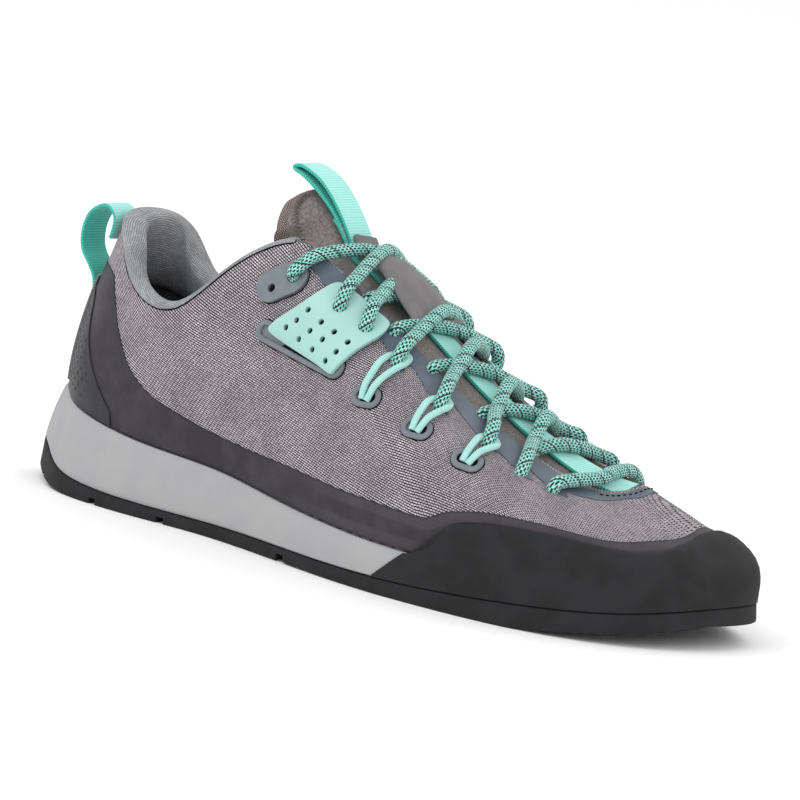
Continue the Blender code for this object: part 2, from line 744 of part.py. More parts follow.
def make_lace_loops(loop_finish, frame_finish):
    """Webbing loops: each rises from a slot in the quarter to the lace."""
    for label, side in SIDES:
        for number, (u, v, row) in enumerate(WEBBING_LOOPS, start=1):
            length, width = LOOP_FRAME_SIZE
            rim = 0.0020
            skin_ring(
                "loop_frame_{}_{}".format(label, number), frame_finish, (u, v), side,
                stadium(length, width, 3), stadium(length - 2.0 * rim, width - 2.0 * rim, 3), 2.0,
                CLEARANCE, MOULDED,
            )
            top_u, top_v = LACE_ROWS[row]
            if side < 0:
                foot = skin(ROUND - u, v)
                top = skin(ROUND - top_u, top_v)
            else:
                foot = skin(u, v)
                top = skin(top_u, top_v)
            height = float(np.linalg.norm(top - foot))
            outline = loop_outline(height, 0.0)
            hole = loop_outline(height, 0.0019)
            lean = 10.0
            lift = MOULDED + 3.5 * CLEARANCE
            skin_ring(
                "lace_loop_{}_{}".format(label, number), loop_finish, (u, v), side,
                outline, hole, -lean, lift, WEBBING,
            )


def loop_outline(height, inset):
    """Teardrop of a webbing loop: pinched at the slot, wide where the lace runs."""
    foot = 0.0022 - 0.55 * inset
    top = 0.0050 - inset
    low = 0.0005 + 1.6 * inset
    high = height + 0.0012 - 1.2 * inset
    waist = low + (high - low) * 0.55
    shoulder = low + (high - low) * 0.82
    return np.array([
        (-foot, low), (foot, low), (0.75 * top, waist), (top, shoulder), (0.5 * top, high),
        (-0.5 * top, high), (-top, shoulder), (-0.75 * top, waist),
    ])


# The tongue above the throat: shares of LAST_LENGTH, BALL_WIDTH and UPPER_RISE over HEEL_STACK
TONGUE_COLUMNS = ("x_mid", "z_mid", "x_edge", "y_lateral", "y_medial", "z_edge")
TONGUE_ROWS = (
    (0.343, 1.050, 0.345, -0.070, 0.070, 1.046),
    (0.352, 1.032, 0.345, -0.158, 0.140, 1.015),
    (0.365, 1.000, 0.342, -0.215, 0.180, 0.950),
    (0.381, 0.960, 0.343, -0.236, 0.180, 0.875),
    (0.399, 0.915, 0.348, -0.230, 0.160, 0.790),
)
TONGUE_STATIONS = (6.75, 7.1, 7.5, 7.9, 8.3, 8.7, 9.1, 9.5, 9.9, 10.3)
TONGUE_ACROSS = np.array([0.0, 0.16, 0.33, 0.5, 0.67, 0.84, 1.0])
TONGUE_ARCH = 0.0035


def tongue_rows():
    """Cross lines of the tongue's upper face, from its top edge down to the toe."""
    rows = []
    for row in TONGUE_ROWS:
        value = dict(zip(TONGUE_COLUMNS, row))
        edge_z = value["z_edge"] * UPPER_RISE + HEEL_STACK
        mid_z = value["z_mid"] * UPPER_RISE + HEEL_STACK
        left = np.array([value["x_edge"] * LAST_LENGTH, value["y_lateral"] * BALL_WIDTH, edge_z])
        right = np.array([value["x_edge"] * LAST_LENGTH, value["y_medial"] * BALL_WIDTH, edge_z])
        middle = np.array([value["x_mid"] * LAST_LENGTH, 0.5 * (left[1] + right[1]), mid_z])
        rise = middle - 0.5 * (left + right)
        share = TONGUE_ACROSS[:, None]
        rows.append(left + (right - left) * share + rise * (1.0 - (2.0 * share - 1.0) ** 2))
    for station in TONGUE_STATIONS:
        under = UPPER_WALL + 1.5 * CLEARANCE + COLLAR_PIPING * (station < 7.0)
        tuck = 0.87 if station < 8.0 else 0.90
        left = [lifted(station, v, -under) for v in (tuck, 0.99)]
        right = [lifted(ROUND - station, v, -under) for v in (0.99, tuck)]
        gap = right[0] - left[1]
        arch = TONGUE_ARCH * min(1.0, max(0.0, (10.6 - station) / 1.6))
        between = []
        for share in (0.25, 0.5, 0.75):
            lift = np.array([0.0, 0.0, arch * 4.0 * share * (1.0 - share)])
            between.append(left[1] + gap * share + lift)
        rows.append(np.array(left + between + right))
    return np.array(rows)


def sheet_normals(rows):
    """Upward normals of a grid of cross lines that run lateral to medial, top to toe."""
    down = np.gradient(rows, axis=0)
    across = np.gradient(rows, axis=1)
    face = np.cross(down, across)
    return face / np.linalg.norm(face, axis=-1, keepdims=True)


def make_tongue(finish):
    top = tongue_rows()
    face = sheet_normals(top)
    return wall("tongue", finish, top, top - face * TONGUE)


def ridge(place):
    """Middle line of the tongue's upper face, with its normal and its direction to the medial side.

    place counts cross lines from the tongue's top edge.
    """
    rows = tongue_rows()
    middle = len(TONGUE_ACROSS) // 2
    count = np.arange(len(rows))
    across = rows[:, middle + 1] - rows[:, middle - 1]
    found = []
    for values in (rows[:, middle], sheet_normals(rows)[:, middle], across):
        found.append(np.array([np.interp(place, count, values[:, axis]) for axis in range(3)]).T)
    point, up, across = found
    up = up / np.linalg.norm(up, axis=-1, keepdims=True)
    return point, up, across / np.linalg.norm(across, axis=-1, keepdims=True)


def make_tongue_webbing(finish):
    """The webbing sewn down the tongue, folded into a pull above the stitching."""
    place = np.linspace(3.6, 13.8, 18)
    point, up, across = ridge(place)
    side = across * WEBBING_WIDTH / 2.0
    low = point + up * 1.5 * CLEARANCE
    high = low + up * WEBBING
    pull_x = np.array([0.335, 0.345, 0.365, 0.385]) * LAST_LENGTH
    pull_z = np.array([1.120, 1.104, 1.060, 1.000]) * UPPER_RISE + HEEL_STACK
    pull = np.stack([pull_x, np.full(4, high[0, 1]), pull_z], axis=1)
    back = pull - np.array([0.6, 0.0, 0.8]) * 2.0 * WEBBING
    high = np.concatenate([pull, high])
    low = np.concatenate([back, low])
    side = np.concatenate([np.repeat(side[:1], 4, axis=0), side])
    outer = np.stack([high - side, high, high + side])
    inner = np.stack([low - side, low, low + side])
    return wall("tongue_webbing", finish, outer, inner)


def make_keeper(finish):
    """Rubber patch on the tongue that the third lace row runs under."""
    share = np.linspace(0.0, 1.0, 9)
    line, up, across = ridge(6.0 + 1.95 * share)
    up = up.mean(axis=0)
    rise = np.clip(np.sin(math.pi * share), 0.0, 1.0) ** 0.8
    low = line + up * (WEBBING + 4.0 * CLEARANCE + KEEPER_RISE * rise)[:, None]
    half = KEEPER_WIDTH / 2.0 * (0.9 - 0.2 * rise)
    outer = []
    inner = []
    for side in (-1.0, -0.5, 0.0, 0.5, 1.0):
        place = low + across * (half * side)[:, None]
        outer.append(place + up * MOULDED)
        inner.append(place)
    return wall("tongue_keeper", finish, outer, inner)


def make_heel_loop(finish):
    """Pull loop of webbing behind the heel."""
    top = topline(0.0)
    low = lifted(0.0, 0.70, FILM_TOP + 2.0 * CLEARANCE)
    route = np.array([
        (low[0] - 0.0004, low[2] - 0.0010),
        (low[0] - 0.0060, low[2] + 0.0080),
        (top[0] - PULL_LOOP_REACH, top[2] - 0.0110),
        (top[0] - PULL_LOOP_REACH - 0.0010, top[2] - 0.0040),
        (top[0] - 0.0115, top[2] + 0.0010),
        (top[0] - 0.0060, top[2] + 0.0008),
        (top[0] - 0.0030, top[2] - 0.0040),
        (top[0] - 0.0042, top[2] - 0.0085),
    ])
    steps = np.gradient(route, axis=0)
    steps = steps / np.linalg.norm(steps, axis=1, keepdims=True)
    out = np.stack([-steps[:, 1], steps[:, 0]], axis=1)
    halves = (-WEBBING_WIDTH / 2.0, 0.0, WEBBING_WIDTH / 2.0)
    outer = []
    inner = []
    for y in halves:
        outer.append([(x, y, z) for x, z in route + out * WEBBING / 2.0])
        inner.append([(x, y, z) for x, z in route - out * WEBBING / 2.0])
    return wall("heel_pull_loop", finish, outer, inner)


# Heights of the middle of the lace at each row: over the skin at the row's eyelets, over the skin
# at the edge of the throat, and of the upper of two crossing strands over the lower one
LACE_LIFT_COLUMNS = ("row", "edge", "crossing")
LACE_LIFTS = (
    (0.0066, 0.0050, 0.0000),
    (0.0074, 0.0070, 0.0030),
    (0.0074, 0.0070, 0.0016),
    (0.0074, 0.0046, 0.0030),
    (0.0074, 0.0046, 0.0030),
    (0.0074, 0.0046, 0.0030),
    (0.0054, 0.0048, 0.0030),
    (0.0054, 0.0048, 0.0030),
)
OVER_TONGUE = WEBBING + 5.5 * CLEARANCE + LACE_RADIUS
THROAT_CORNER = 6.55


def lace_anchor(row, side):
    """Where the lace leaves a row, just clear of what holds it."""
    u, v = LACE_ROWS[row]
    return lifted(u if side > 0 else ROUND - u, v, LACE_LIFTS[row][0])


def throat_crossing(row, x, side):
    """Where a strand of a row passes over the edge of the throat, at a distance from the heel."""
    u = np.linspace(THROAT_CORNER, TOE, 91)
    place = np.interp(x, topline(u if side > 0 else ROUND - u)[:, 0], u)
    return lifted(place if side > 0 else ROUND - place, 0.99, LACE_LIFTS[row][1])


def tongue_crossing(x, lift):
    """Where a strand passes over the ridge of the tongue, at a distance from the heel."""
    line, up, _ = ridge(np.linspace(3.0, len(TONGUE_ROWS) + len(TONGUE_STATIONS) - 1.0, 61))
    nearest = int(np.argmin(np.abs(line[:, 0] - x)))
    return line[nearest] + up[nearest] * lift


def smooth_run(knots):
    """Run through knots, with a point added halfway along each span but the first and the last."""
    run = [knots[0]]
    for before, start, end, after in zip(knots, knots[1:], knots[2:], knots[3:]):
        run += [start, (9.0 * (start + end) - before - after) / 16.0]
    return np.array(run + [knots[-2], knots[-1]])


def lace_strand(row, side, over):
    """Run from one row to the next row up on the other side, over the throat edges and the tongue."""
    start = lace_anchor(row, side)
    end = lace_anchor(row - 1, -side)
    x = start[0] + (end[0] - start[0]) * np.array([0.3, 0.5, 0.7])
    lift = OVER_TONGUE + over * LACE_LIFTS[row][2]
    return smooth_run(np.array([
        start, throat_crossing(row, x[0], side), tongue_crossing(x[1], lift),
        throat_crossing(row - 1, x[2], -side), end,
    ]))


def add_tube(mesh_data, points, radius, sides=5):
    """Closed round tube along a run of points."""
    run = np.gradient(points, axis=0)
    run = run / np.linalg.norm(run, axis=1, keepdims=True)
    rise = np.array([0.0, 0.0, 1.0])
    across = np.cross(run, rise)
    across = across / np.linalg.norm(across, axis=1, keepdims=True)
    over = np.cross(across, run)
    angles = np.linspace(0.0, 2.0 * math.pi, sides, endpoint=False)
    rings = np.array([
        points + radius * (math.cos(angle) * across + math.sin(angle) * over) for angle in angles
    ])
    grid = np.swapaxes(rings, 0, 1)
    add_grid(mesh_data, grid, wrap=True)
    for end in (grid[0], grid[-1]):
        mesh_data.faces.new([mesh_data.verts.new(point) for point in end])


def lace_bar():
    """The straight run between the two lowest eyelets, arched over the tongue."""
    row = len(LACE_ROWS) - 1
    start = lace_anchor(row, 1)
    end = lace_anchor(row, -1)
    x = 0.5 * (start[0] + end[0])
    middle = tongue_crossing(x, OVER_TONGUE)
    return smooth_run(np.array([
        start, throat_crossing(row, start[0], 1), middle, throat_crossing(row, end[0], -1), end,
    ]))


def make_lace(finish):
    """All the crossings of the lace, joined where they touch."""
    rows = range(1, len(LACE_ROWS))
    groups = (
        ("lace", [lace_strand(row, 1, 1.0) for row in rows], LACE_RADIUS),
        ("lace_under", [lace_strand(row, -1, 0.0) for row in rows], 0.985 * LACE_RADIUS),
        ("lace_bar", [lace_bar()], 0.97 * LACE_RADIUS),
    )
    made = []
    for name, strands, radius in groups:
        mesh_data = bmesh.new()
        for points in strands:
            add_tube(mesh_data, points, radius)
        made.append(add_object(name, mesh_data, finish))
    lace = made[0]
    for guide in made[1:]:
        guide.hide_render = True
        guide.display_type = "WIRE"
        join = lace.modifiers.new(guide.name, "BOOLEAN")
        join.operation = "UNION"
        join.solver = "EXACT"
        join.object = guide
    return lace


def main():
    clear_scene()
    knit = material("knit_grey", (0.26, 0.24, 0.25), 0.85)
    lining = material("lining_grey", (0.22, 0.22, 0.23), 0.9)
    film = material("film_charcoal", (0.055, 0.048, 0.058), 0.55)
    counter = material("counter_charcoal", (0.042, 0.042, 0.044), 0.5)
    tape = material("heel_tape_grey", (0.30, 0.30, 0.31), 0.7)
    foam = material("midsole_grey", (0.44, 0.44, 0.45), 0.7)
    rubber = material("rubber_black", (0.030, 0.030, 0.032), 0.75)
    stay = material("eyestay_slate", (0.14, 0.16, 0.20), 0.5)
    moulded = material("moulded_grey", (0.22, 0.24, 0.26), 0.45)
    mint = material("moulded_mint", (0.45, 0.74, 0.70), 0.4)
    webbing = material("webbing_mint", (0.38, 0.85, 0.76), 0.8)
    cord = material("lace_mint", (0.13, 0.62, 0.53), 0.85)
    tongue = material("tongue_brown_grey", (0.15, 0.13, 0.12), 0.9)
    make_outsole(rubber)
    make_midsole(foam)
    make_insole(lining)
    make_upper(knit)
    make_film(film)
    make_counter(counter)
    make_heel_tape(tape)
    make_rand(rubber)
    make_collar(lining)
    make_eyestay(stay)
    make_lace_plates(moulded)
    make_wings(mint, moulded)
    make_lace_loops(webbing, moulded)
    make_tongue(tongue)
    make_tongue_webbing(webbing)
    make_keeper(moulded)
    make_heel_loop(webbing)
    make_lace(cord)


main()
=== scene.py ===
"""Looks of the approach shoe: knitted upper, welded film, rubber rand, moulded and webbing lace
holders, round lace.

The shoe stands on z = 0 with its toe towards +X and its outer side towards -Y. Most pieces lie on
one function, `surface`, which repeats the skin of the CAD part. Its first number u runs round the
shoe, from the heel (0) by the outer side to the toe (11) and back on the inner side (22). Its
second number v climbs from the foot of the upper (0) to the edge of the collar and throat (1).
"""
import math

import bmesh
import bpy
import numpy as np
from mathutils import Matrix, Vector


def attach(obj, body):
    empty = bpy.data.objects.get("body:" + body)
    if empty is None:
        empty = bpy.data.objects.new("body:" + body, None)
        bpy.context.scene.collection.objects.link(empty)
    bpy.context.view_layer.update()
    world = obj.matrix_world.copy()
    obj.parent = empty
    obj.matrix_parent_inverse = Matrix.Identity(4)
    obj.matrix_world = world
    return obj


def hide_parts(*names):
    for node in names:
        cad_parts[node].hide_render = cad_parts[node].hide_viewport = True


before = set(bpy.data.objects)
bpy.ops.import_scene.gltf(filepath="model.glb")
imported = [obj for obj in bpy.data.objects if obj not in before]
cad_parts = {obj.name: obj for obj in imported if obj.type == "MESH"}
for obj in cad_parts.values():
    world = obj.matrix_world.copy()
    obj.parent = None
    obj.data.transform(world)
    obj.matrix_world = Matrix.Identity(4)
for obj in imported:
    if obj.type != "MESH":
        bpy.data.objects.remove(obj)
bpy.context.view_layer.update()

# Camera of the photograph, measured against the shoe's outlines
CAMERA_AZIMUTH = 35.28
CAMERA_ELEVATION = 8.82
CAMERA_ROLL = 7.78
CAMERA_DISTANCE = 1.56741
CAMERA_TARGET = Vector((0.002935, 0.001227, 0.05195))
CAMERA_LENS = 220.76


def aim_camera():
    azimuth = math.radians(CAMERA_AZIMUTH)
    elevation = math.radians(CAMERA_ELEVATION)
    roll = math.radians(CAMERA_ROLL)
    back = Vector((
        math.sin(azimuth) * math.cos(elevation),
        -math.cos(azimuth) * math.cos(elevation),
        math.sin(elevation),
    ))
    level = Vector((math.cos(azimuth), math.sin(azimuth), 0.0))
    over = back.cross(level)
    right = level * math.cos(roll) + over * math.sin(roll)
    up = over * math.cos(roll) - level * math.sin(roll)
    data = bpy.data.cameras.new("camera")
    data.lens = CAMERA_LENS
    data.sensor_width = 36.0
    data.clip_start = 0.05
    data.clip_end = 50.0
    camera = bpy.data.objects.new("camera", data)
    turn = Matrix((right, up, back)).transposed().to_4x4()
    camera.matrix_world = Matrix.Translation(CAMERA_TARGET + back * CAMERA_DISTANCE) @ turn
    bpy.context.scene.collection.objects.link(camera)
    bpy.context.scene.camera = camera


aim_camera()

# Sizes of the shoe, as in the CAD part
LAST_LENGTH = 0.2615
BALL_WIDTH = 0.0884
UPPER_RISE = 0.0820
HEEL_STACK = 0.0280
OUTSOLE_HEIGHT = 0.0045
TOE_SPRING = 0.0078
SOLE_FLARE = 0.0030
PROFILE_REACH = 0.0200
UPPER_WALL = 0.0018
FILM = 0.0004
COUNTER_PANEL = 0.0005
HEEL_TAPE = 0.0011
RAND = 0.0014
INSOLE = 0.0040
LUG_DEPTH = 0.0020
TONGUE = 0.0026
WEBBING = 0.0012
WEBBING_WIDTH = 0.0120
MOULDED = 0.0014
LACE_RADIUS = 0.0022
CLEARANCE = 0.0003
ORIGIN = np.array([0.128875, -0.00143704, 0.0])
ROUND = 22
TOE = 11

# Heel to toe. x is a share of LAST_LENGTH, y of BALL_WIDTH, feather of HEEL_STACK, outsole of
# OUTSOLE_HEIGHT, tread of TOE_SPRING and both flares of SOLE_FLARE.
SOLE_COLUMNS = ("x", "y_lateral", "y_medial", "feather", "outsole", "tread", "flare_top", "flare_foot")
SOLE_ROWS = (
    (0.000, 0.000, 0.000, 1.16, 3.10, 0.54, 2.30, 2.30),
    (0.034, -0.160, 0.195, 1.11, 2.35, 0.28, 1.80, 2.25),
    (0.092, -0.288, 0.310, 1.00, 1.35, 0.04, 1.45, 1.85),
    (0.199, -0.340, 0.346, 0.85, 0.93, -0.05, 1.30, 1.65),
    (0.322, -0.347, 0.306, 0.77, 0.90, -0.05, 1.20, 1.40),
    (0.437, -0.413, 0.294, 0.66, 0.97, 0.05, 1.05, 1.15),
    (0.568, -0.500, 0.362, 0.57, 1.00, 0.06, 0.90, 1.10),
    (0.692, -0.520, 0.463, 0.53, 1.20, -0.05, 0.90, 1.00),
    (0.814, -0.477, 0.480, 0.55, 1.62, 0.02, 0.82, 1.10),
    (0.917, -0.347, 0.391, 0.61, 2.12, 0.40, 0.83, 1.10),
    (0.979, -0.122, 0.258, 0.68, 2.75, 0.78, 0.85, 1.10),
    (1.000, 0.120, 0.120, 0.70, 3.02, 1.00, 0.90, 1.05),
)
TOPLINE_COLUMNS = ("x", "y_lateral", "y_medial", "z_lateral", "z_medial")
TOPLINE_ROWS = (
    (0.054, 0.000, 0.000, 0.721, 0.721),
    (0.071, -0.112, 0.125, 0.695, 0.740),
    (0.105, -0.210, 0.205, 0.655, 0.705),
    (0.146, -0.270, 0.230, 0.577, 0.595),
    (0.223, -0.318, 0.262, 0.577, 0.600),
    (0.301, -0.312, 0.272, 0.822, 0.762),
    (0.380, -0.267, 0.230, 0.998, 0.900),
    (0.451, -0.252, 0.201, 0.940, 0.868),
    (0.560, -0.230, 0.196, 0.725, 0.678),
    (0.682, -0.190, 0.172, 0.472, 0.428),
    (0.805, -0.060, 0.166, 0.268, 0.290),
    (0.846, 0.084, 0.084, 0.278, 0.278),
)
# How the skin leaves its foot and reaches its edge, as shares of PROFILE_REACH: outwards and up at
# the bottom, outwards and down at the top
PROFILE_LATERAL = (
    (0.01, 0.85, 0.33, 1.11),
    (0.05, 0.88, 0.24, 1.10),
    (0.17, 0.77, 0.22, 1.00),
    (0.20, 0.70, 0.18, 0.80),
    (0.20, 0.70, 0.20, 0.70),
    (0.20, 0.90, 0.30, 0.90),
    (0.20, 1.10, 0.50, 1.10),
    (0.20, 1.10, 0.81, 0.90),
    (0.20, 1.00, 0.92, 0.50),
    (0.15, 0.70, 0.80, 0.25),
    (0.09, 0.49, 0.70, 0.07),
    (0.03, 0.43, 0.58, 0.09),
)
PROFILE_MEDIAL = (
    (0.10, 0.90, 0.08, 1.10),
    (0.20, 0.80, 0.15, 1.00),
    (0.20, 0.70, 0.15, 0.80),
    (0.15, 0.70, 0.20, 0.70),
    (0.15, 0.90, 0.30, 0.88),
    (0.15, 1.07, 0.40, 1.07),
    (0.15, 1.03, 0.50, 1.00),
    (0.15, 0.93, 0.46, 0.71),
    (0.16, 0.73, 0.35, 0.62),
    (0.12, 0.75, 0.36, 0.55),
)
# Upper edge of the welded film and of the rand, and outer edge of the eyestay: v at u on the outer
# half, mirrored on the inner half
FILM_EDGE = (
    (0.0, 0.74), (1.0, 0.79), (1.9, 0.84), (2.4, 0.77), (2.75, 0.63), (2.95, 0.49), (3.25, 0.38),
    (3.75, 0.30), (4.25, 0.24), (4.75, 0.21), (5.4, 0.19), (6.0, 0.17), (7.1, 0.165), (7.45, 0.22),
    (7.9, 0.26), (8.5, 0.29), (9.2, 0.31), (9.5, 0.34), (9.95, 0.41), (10.85, 0.52), (11.0, 0.52),
)
RAND_EDGE = (
    (6.8, 0.10), (7.1, 0.12), (7.35, 0.165), (7.6, 0.195), (8.0, 0.225), (8.65, 0.255), (9.25, 0.26),
    (9.5, 0.27), (9.8, 0.30), (10.2, 0.39), (10.7, 0.47), (11.0, 0.48),
)
EYESTAY_LOW = (
    (6.35, 0.93), (6.8, 0.89), (7.3, 0.87), (7.6, 0.86), (8.0, 0.85), (8.4, 0.84), (8.7, 0.80),
    (8.9, 0.72), (9.1, 0.66), (9.3, 0.62), (9.517, 0.644), (9.76, 0.704), (10.0, 0.78), (10.3, 0.85),
    (10.6, 0.855), (10.86, 0.87), (11.0, 0.88),
)
EYESTAY_HIGH = (
    (6.35, 0.995), (9.3, 0.995), (9.5, 0.89), (9.75, 0.82), (10.0, 0.87), (10.4, 0.935), (10.67, 0.957),
    (11.0, 0.965),
)
# The lace rows on the skin, counted from the ankle, and the slots of the webbing loops with the
# lace row that each serves
LACE_ROWS = (
    (6.19, 0.857), (7.12, 0.837), (7.47, 0.827), (7.85, 0.80), (8.25, 0.72), (8.68, 0.67), (8.88, 0.59),
    (9.20, 0.59),
)
WEBBING_LOOPS = ((7.06, 0.54, 3), (7.63, 0.51, 4), (8.10, 0.47, 5))

# Soft creases where the foot bends: u, v, half-length in u, half-height in v, slant, depth in metres
CREASES = (
    (8.95, 0.34, 0.75, 0.050, -0.05, -0.00035),
    (9.30, 0.47, 0.55, 0.050, -0.05, 0.00035),
    (9.75, 0.56, 0.50, 0.055, -0.06, -0.00035),
    (13.05, 0.36, 0.75, 0.050, 0.05, -0.00040),
    (12.60, 0.50, 0.60, 0.055, 0.05, 0.00040),
    (4.30, 0.62, 0.55, 0.090, 0.10, -0.00045),
    (4.80, 0.44, 0.70, 0.070, 0.06, 0.00040),
    (17.60, 0.60, 0.60, 0.080, -0.10, -0.00045),
)


class RoundSpline:
    """A smooth closed curve through equally spaced rows of numbers."""

    def __init__(self, rows):
        self.rows = np.array(rows, dtype=float)
        count = len(self.rows)
        bend = 4.0 * np.eye(count) + np.roll(np.eye(count), 1, 0) + np.roll(np.eye(count), -1, 0)
        jump = np.roll(self.rows, -1, 0) - 2.0 * self.rows + np.roll(self.rows, 1, 0)
        self.bends = np.linalg.solve(bend, 6.0 * jump)

    def at(self, place):
        count = len(self.rows)
        place = np.asarray(place, dtype=float) % count
        row = np.floor(place).astype(int) % count
        following = (row + 1) % count
        after = (place - np.floor(place))[..., None]
        before = 1.0 - after
        straight = before * self.rows[row] + after * self.rows[following]
        curved = (before**3 - before) * self.bends[row] + (after**3 - after) * self.bends[following]
        return straight + curved / 6.0


def both_sides(lateral, medial):
    return RoundSpline(list(lateral) + list(medial)[::-1])


def table_spline(columns, rows, scales):
    halves = []
    for side in ("lateral", "medial"):
        values = [dict(zip(columns, row)) for row in rows]
        halves.append([[value[name.format(side)] * scale for name, scale in scales] for value in values])
    return both_sides(halves[0], halves[1][1:-1])


SOLE = table_spline(SOLE_COLUMNS, SOLE_ROWS, (
    ("x", LAST_LENGTH), ("y_{}", BALL_WIDTH), ("feather", HEEL_STACK), ("outsole", OUTSOLE_HEIGHT),
    ("tread", TOE_SPRING), ("flare_top", SOLE_FLARE), ("flare_foot", SOLE_FLARE),
))
TOPLINE = table_spline(TOPLINE_COLUMNS, TOPLINE_ROWS, (
    ("x", LAST_LENGTH), ("y_{}", BALL_WIDTH), ("z_{}", UPPER_RISE),
))
PROFILE = both_sides(np.array(PROFILE_LATERAL) * PROFILE_REACH, np.array(PROFILE_MEDIAL) * PROFILE_REACH)
NUDGE = 0.001
RISE = np.array([0.0, 0.0, 1.0])


def outward(u):
    """Level direction that points away from the foot."""
    run = SOLE.at(u + NUDGE)[..., :2] - SOLE.at(u - NUDGE)[..., :2]
    run = run / np.linalg.norm(run, axis=-1, keepdims=True)
    return np.stack([run[..., 1], -run[..., 0], np.zeros_like(run[..., 0])], axis=-1)


def feather(u):
    return SOLE.at(u)[..., :3]


def topline(u):
    edge = TOPLINE.at(u)
    return edge + RISE * SOLE.at(u)[..., 2:3]


def skin(u, v):
    u, v = np.broadcast_arrays(np.asarray(u, float), np.asarray(v, float))
    foot = feather(u)
    edge = topline(u)
    away = outward(u)
    shape = PROFILE.at(u)
    low = foot + away * shape[..., 0:1] + RISE * shape[..., 1:2]
    high = edge + away * shape[..., 2:3] - RISE * shape[..., 3:4]
    v = v[..., None]
    w = 1.0 - v
    return w**3 * foot + 3.0 * w**2 * v * low + 3.0 * w * v**2 * high + v**3 * edge


def normal(u, v):
    along = skin(np.asarray(u) + NUDGE, v) - skin(np.asarray(u) - NUDGE, v)
    climb = skin(u, np.asarray(v) + NUDGE) - skin(u, np.asarray(v) - NUDGE)
    across = np.cross(along, climb)
    return across / np.linalg.norm(across, axis=-1, keepdims=True)


def crease(u, v):
    total = 0.0
    for u0, v0, wide, tall, slant, depth in CREASES:
        du = (np.asarray(u) - u0) / wide
        dv = (np.asarray(v) - v0 - slant * du) / tall
        total = total + depth * np.exp(-du * du - dv * dv)
    return total


def surface(u, v, lift=0.0):
    """Point at a height over the creased skin, in the part's own frame."""
    u, v, lift = np.broadcast_arrays(np.asarray(u, float), np.asarray(v, float), np.asarray(lift, float))
    return skin(u, v) + normal(u, v) * (lift + crease(u, v))[..., None] - ORIGIN


def edge_value(table, u):
    """Read a table of the outer half at any u, rounded off between its rows."""
    u = np.asarray(u, float) % ROUND
    half = np.where(u > TOE, ROUND - u, u)
    places, values = zip(*table)
    spread = (-0.06, -0.03, 0.0, 0.03, 0.06)
    return np.mean([np.interp(half + step, places, values) for step in spread], axis=0)


def half_of(u):
    u = np.asarray(u, float) % ROUND
    return np.where(u > TOE, ROUND - u, u)


def sole_point(u, spread, height):
    place = feather(u) + outward(u) * np.asarray(spread)[..., None]
    place[..., 2] = height
    return place - ORIGIN


def outsole_top(u):
    return SOLE.at(u)[..., 3]


def tread_level(u):
    return np.maximum(SOLE.at(u)[..., 4], 0.0)


def on_skin(centre, flat, lift, side):
    """Points given in metres on the plane that touches the skin at centre, dropped on to it.

    flat holds pairs: forward along the shoe and up the side. side is 1 on the outer half, -1 on the
    inner half.
    """
    u0, v0 = centre
    u0 = u0 if side > 0 else ROUND - u0
    flat = np.asarray(flat, float)
    start = skin(u0, v0)
    across = normal(u0, v0)
    forward = np.array([1.0, 0.0, 0.0]) - across * across[0]
    forward = forward / np.linalg.norm(forward)
    climb = np.cross(across, forward) * side
    target = start + flat[..., :1] * forward + flat[..., 1:2] * climb
    u = np.full(flat.shape[:-1], float(u0))
    v = np.full(flat.shape[:-1], float(v0))
    for _ in range(12):
        along_u = (skin(u + NUDGE, v) - skin(u - NUDGE, v)) / (2.0 * NUDGE)
        along_v = (skin(u, v + NUDGE) - skin(u, v - NUDGE)) / (2.0 * NUDGE)
        miss = target - skin(u, v)
        a, b = along_u @ forward, along_v @ forward
        c, d = along_u @ climb, along_v @ climb
        p, q = miss @ forward, miss @ climb
        spread = a * d - b * c
        u = u + (d * p - b * q) / spread
        v = v + (a * q - c * p) / spread
    return surface(u, v, lift)


def turned(points, angle):
    """Turn flat points, positive tipping their front end up the side."""
    cosine = math.cos(math.radians(angle))
    sine = math.sin(math.radians(angle))
    points = np.asarray(points, float)
    return np.stack([
        points[..., 0] * cosine - points[..., 1] * sine,
        points[..., 0] * sine + points[..., 1] * cosine,
    ], axis=-1)


# Materials. Colours are sRGB hex values, and each pattern has its size in millimetres.


def linear(code):
    """Blender's linear colour for an sRGB hex value."""
    shares = [int(code[place:place + 2], 16) / 255.0 for place in (1, 3, 5)]
    return [s / 12.92 if s <= 0.04045 else ((s + 0.055) / 1.055) ** 2.4 for s in shares] + [1.0]


def node(tree, kind, inputs=(), **settings):
    """Add one shader node with its settings, its values and its links."""
    made = tree.nodes.new("ShaderNode" + kind)
    for name, value in settings.items():
        setattr(made, name, value)
    for socket, value in dict(inputs).items():
        if isinstance(value, bpy.types.NodeSocket):
            tree.links.new(value, made.inputs[socket])
        else:
            made.inputs[socket].default_value = value
    return made


def start_material(name, colour, **shader_values):
    """Material with its main shader; names of shader values use _ for a space."""
    material = bpy.data.materials.new(name)
    material.use_nodes = True
    tree = material.node_tree
    shader = tree.nodes["Principled BSDF"]
    shader.inputs["Base Color"].default_value = linear(colour)
    for socket, value in shader_values.items():
        shader.inputs[socket.replace("_", " ")].default_value = value
    return material, tree, shader


def patchy(tree, colour, other, size, low=0.4, high=0.6, detail=3.0, vector=None):
    """Two colours in soft patches of a size in millimetres."""
    place = vector or node(tree, "TexCoord").outputs["Object"]
    scale = 1.0 / size if vector else 1000.0 / size
    noise = node(tree, "TexNoise", {"Vector": place, "Scale": scale, "Detail": detail})
    spread = node(tree, "MapRange", {"Value": noise.outputs["Fac"], "From Min": low, "From Max": high})
    made = node(tree, "Mix", {0: spread.outputs[0], 6: colour, 7: other}, data_type="RGBA")
    return made.outputs[2]


